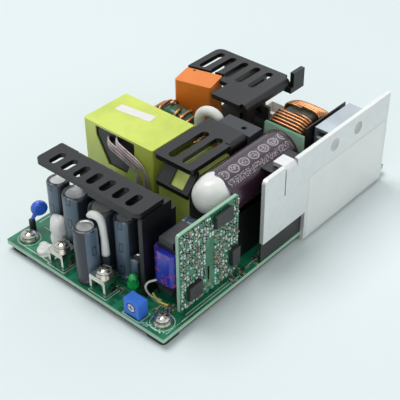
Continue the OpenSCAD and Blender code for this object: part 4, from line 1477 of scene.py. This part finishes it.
@dataclass
class Chokes:
    """The two toroidal chokes with their real windings.

    Args:
        looks: finishes and their nodes.
        boost: the boost choke's coil.
        common: the common mode choke's two coils.
    """

    frame: dict
    looks: Looks = (
        (Finish("core_dark", (0.03, 0.04, 0.03), 0.5), ("boost_choke_core",)),
        (Finish("core_green", (0.005, 0.075, 0.03), 0.3, coat=0.3), ("common_mode_core",)),
        (Finish("base_black", (0.01, 0.01, 0.011), 0.45), ("choke_bases",)),
    )
    boost: Coil = Coil(Axis.X, 7.2, 16.0, 8.0, 72, 100.0, 345.0, 0.45)
    common: tuple[Coil, Coil] = (
        Coil(Axis.Y, 5.0, 14.0, 5.0, 13, -78.0, 156.0, 0.62),
        Coil(Axis.Y, 5.0, 14.0, 5.0, 13, 102.0, 156.0, 0.62),
    )

    def build(self) -> None:
        """Dresses the cores and replaces the hoops by wound wire."""
        dress_all(self.frame, self.looks)
        enamel = Finish("enamel_copper", (0.50, 0.21, 0.075), 0.24, 0.85, 0.4, 0.18, 1200.0, 0.00001)
        copper = enamel.build()
        low, high = extent("boost_choke_winding")
        piece = add_piece("boost_coil", self.boost.mesh((low + high) / 2), copper)
        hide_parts("boost_choke_winding")
        low, high = extent("common_mode_core")
        coils = merged([coil.mesh((low + high) / 2) for coil in self.common])
        piece = add_piece("common_mode_coils", coils, copper)
        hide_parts("common_mode_windings")


@dataclass
class MainsEnd:
    """Rear heatsink, film capacitor, connector and fuse.

    Args:
        looks: finishes and their nodes.
        mark_off: the mark's middle from the capacitor's top left corner.
        mark_half: half size of the mark.
        mark_turn_deg: how the mark is turned.
    """

    frame: dict
    looks: Looks = (
        (anodised("anodised_rear"), ("rear_heatsink",)),
        (epoxy("epoxy_rear"), ("boost_transistors",)),
        (Finish("box_orange", (0.83, 0.22, 0.022), 0.36, 0.0, 0.2, 0.06, 500.0, 0.00008),
         ("x_capacitor",)),
        (Finish("nylon_white", (0.72, 0.71, 0.64), 0.45, spread=0.06), ("input_connector",)),
        (Finish("fuse_body", (0.55, 0.46, 0.33), 0.35, coat=0.2), ("input_fuse",)),
    )
    mark_off: Triple = (3.6, -3.6, 0.02)
    mark_half: Triple = (0.5, 0.5, 0.02)
    mark_turn_deg: float = 14.0

    def build(self) -> None:
        """Dresses every node and adds the film capacitor's small mark."""
        dress_all(self.frame, self.looks)
        dark = Finish("mark_dark", (0.02, 0.02, 0.02), 0.5).build()
        low, high = extent("x_capacitor")
        spot = np.array([low[0], high[1], high[2]]) + np.array(self.mark_off)
        mark = slab(spot, self.mark_half, math.radians(self.mark_turn_deg))
        add_piece("box_mark", mark, dark, False)


# ---------- picture ----------


@dataclass
class Studio:
    """Floor, lights, background and camera, in metres.

    Args:
        target: what the camera looks at.
        distance: from the camera to the target.
        azimuth_deg: the camera's place round the object, from -Y to +X.
        elevation_deg: its height over the floor.
        roll_deg: its turn about the line of sight.
        lens: focal length in millimetres.
        sensor: sensor width in millimetres.
        floor_half: half width of the floor.
        floor_shades: the floor's two near shades.
        sky: colour of the background.
        sky_light: strength with which the background lights the object.
        sky_seen: strength at which it is seen.
        lamps: each lamp's name, place, size and watts.
    """

    target: Triple = (0.007475, -0.01102, 0.0141)
    distance: float = 0.339655
    azimuth_deg: float = 41.503
    elevation_deg: float = 37.068
    roll_deg: float = -0.437
    lens: float = 85.571
    sensor: float = 36.0
    floor_half: float = 1.5
    floor_shades: tuple[Triple, Triple] = ((0.775, 0.86, 0.865), (0.79, 0.87, 0.875))
    sky: Triple = (0.93, 0.97, 1.0)
    sky_light: float = 0.30
    sky_seen: float = 0.80
    lamps: tuple[tuple[str, Triple, float, float], ...] = (
        ("key", (-0.28, -0.02, 0.80), 0.5, 4.3),
        ("fill", (0.45, -0.70, 0.55), 0.7, 1.8),
        ("side", (0.80, 0.15, 0.35), 0.6, 1.7),
        ("rear", (-0.2, 0.8, 0.6), 0.6, 1.2),
    )

    def build(self) -> None:
        """Makes the whole set."""
        self.floor()
        self.lights()
        self.background()
        self.camera()

    def floor(self) -> None:
        """Lays the pale floor that the feet stand on."""
        graph = Graph("floor_pale")
        shade = graph.steps(graph.noise(3.0, 2.0), 0.2, 0.8)
        graph.surface(graph.mix(shade, *self.floor_shades), 0.6)
        graph.bump(graph.noise(40.0, 2.0), 0.00002)
        mesh = bpy.data.meshes.new("floor")
        h = self.floor_half
        mesh.from_pydata([(-h, -h, 0), (h, -h, 0), (h, h, 0), (-h, h, 0)], [], [(0, 1, 2, 3)])
        mesh.materials.append(graph.material)
        floor = bpy.data.objects.new("floor", mesh)
        bpy.context.scene.collection.objects.link(floor)
        floor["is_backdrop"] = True

    def lights(self) -> None:
        """Hangs soft area lamps, each turned to the object."""
        for name, place, size, watts in self.lamps:
            data = bpy.data.lights.new(name, "AREA")
            data.energy = watts
            data.shape = "SQUARE"
            data.size = size
            lamp = bpy.data.objects.new(name, data)
            lamp.location = place
            way = Vector(self.target) - Vector(place)
            lamp.rotation_euler = way.to_track_quat("-Z", "Y").to_euler()
            bpy.context.scene.collection.objects.link(lamp)

    def background(self) -> None:
        """Makes the world pale to camera, glossy and transmission rays."""
        world = bpy.data.worlds.new("world")
        bpy.context.scene.world = world
        world.use_nodes = True
        tree = world.node_tree
        back = tree.nodes["Background"]
        back.inputs["Color"].default_value = (*self.sky, 1.0)
        rays = tree.nodes.new("ShaderNodeLightPath")
        seen = rays.outputs["Is Camera Ray"]
        for ray in ("Is Glossy Ray", "Is Transmission Ray"):
            either = tree.nodes.new("ShaderNodeMath")
            either.operation = "MAXIMUM"
            tree.links.new(seen, either.inputs[0])
            tree.links.new(rays.outputs[ray], either.inputs[1])
            seen = either.outputs[0]
        strength = tree.nodes.new("ShaderNodeMapRange")
        tree.links.new(seen, strength.inputs["Value"])
        strength.inputs["To Min"].default_value = self.sky_light
        strength.inputs["To Max"].default_value = self.sky_seen
        tree.links.new(strength.outputs["Result"], back.inputs["Strength"])

    def camera(self) -> None:
        """Puts the camera on the view line of azimuth and elevation."""
        az, el = math.radians(self.azimuth_deg), math.radians(self.elevation_deg)
        out = Vector((math.sin(az) * math.cos(el), -math.cos(az) * math.cos(el), math.sin(el)))
        right = (-out).cross(Vector((0, 0, 1))).normalized()
        up = right.cross(-out)
        roll = math.radians(self.roll_deg)
        turned = right * math.cos(roll) + up * math.sin(roll)
        raised = up * math.cos(roll) - right * math.sin(roll)
        matrix = Matrix((turned, raised, out)).transposed().to_4x4()
        matrix.translation = Vector(self.target) + out * self.distance
        data = bpy.data.cameras.new("camera")
        data.lens = self.lens
        data.sensor_width = self.sensor
        data.clip_start = 0.01
        data.clip_end = 20.0
        camera = bpy.data.objects.new("camera", data)
        camera.matrix_world = matrix
        bpy.context.scene.collection.objects.link(camera)
        bpy.context.scene.camera = camera


def note_size(label: str, sizes: dict[str, list]) -> None:
    """Adds the whole object's box to sizes as plain lists."""
    low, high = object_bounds()
    sizes[label] = [list(low), list(high)]


def main() -> None:
    """Builds the looks round the frame."""
    logging.basicConfig(level=logging.INFO, format="%(name)s %(message)s")
    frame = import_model()
    sizes: dict[str, list] = {}
    note_size("loaded", sizes)
    bpy.context.scene.view_settings.view_transform = "Standard"
    top = float(extent("main_board")[1][2])
    MainBoard(frame, top).build()
    ControlCard(frame).build()
    OutputEnd(frame).build()
    Magnetics(frame).build()
    Middle(frame, top).build()
    SideWall(frame, top).build()
    Chokes(frame).build()
    MainsEnd(frame).build()
    Studio().build()
    note_size("finished", sizes)


if __name__ == "__main__":
    main()
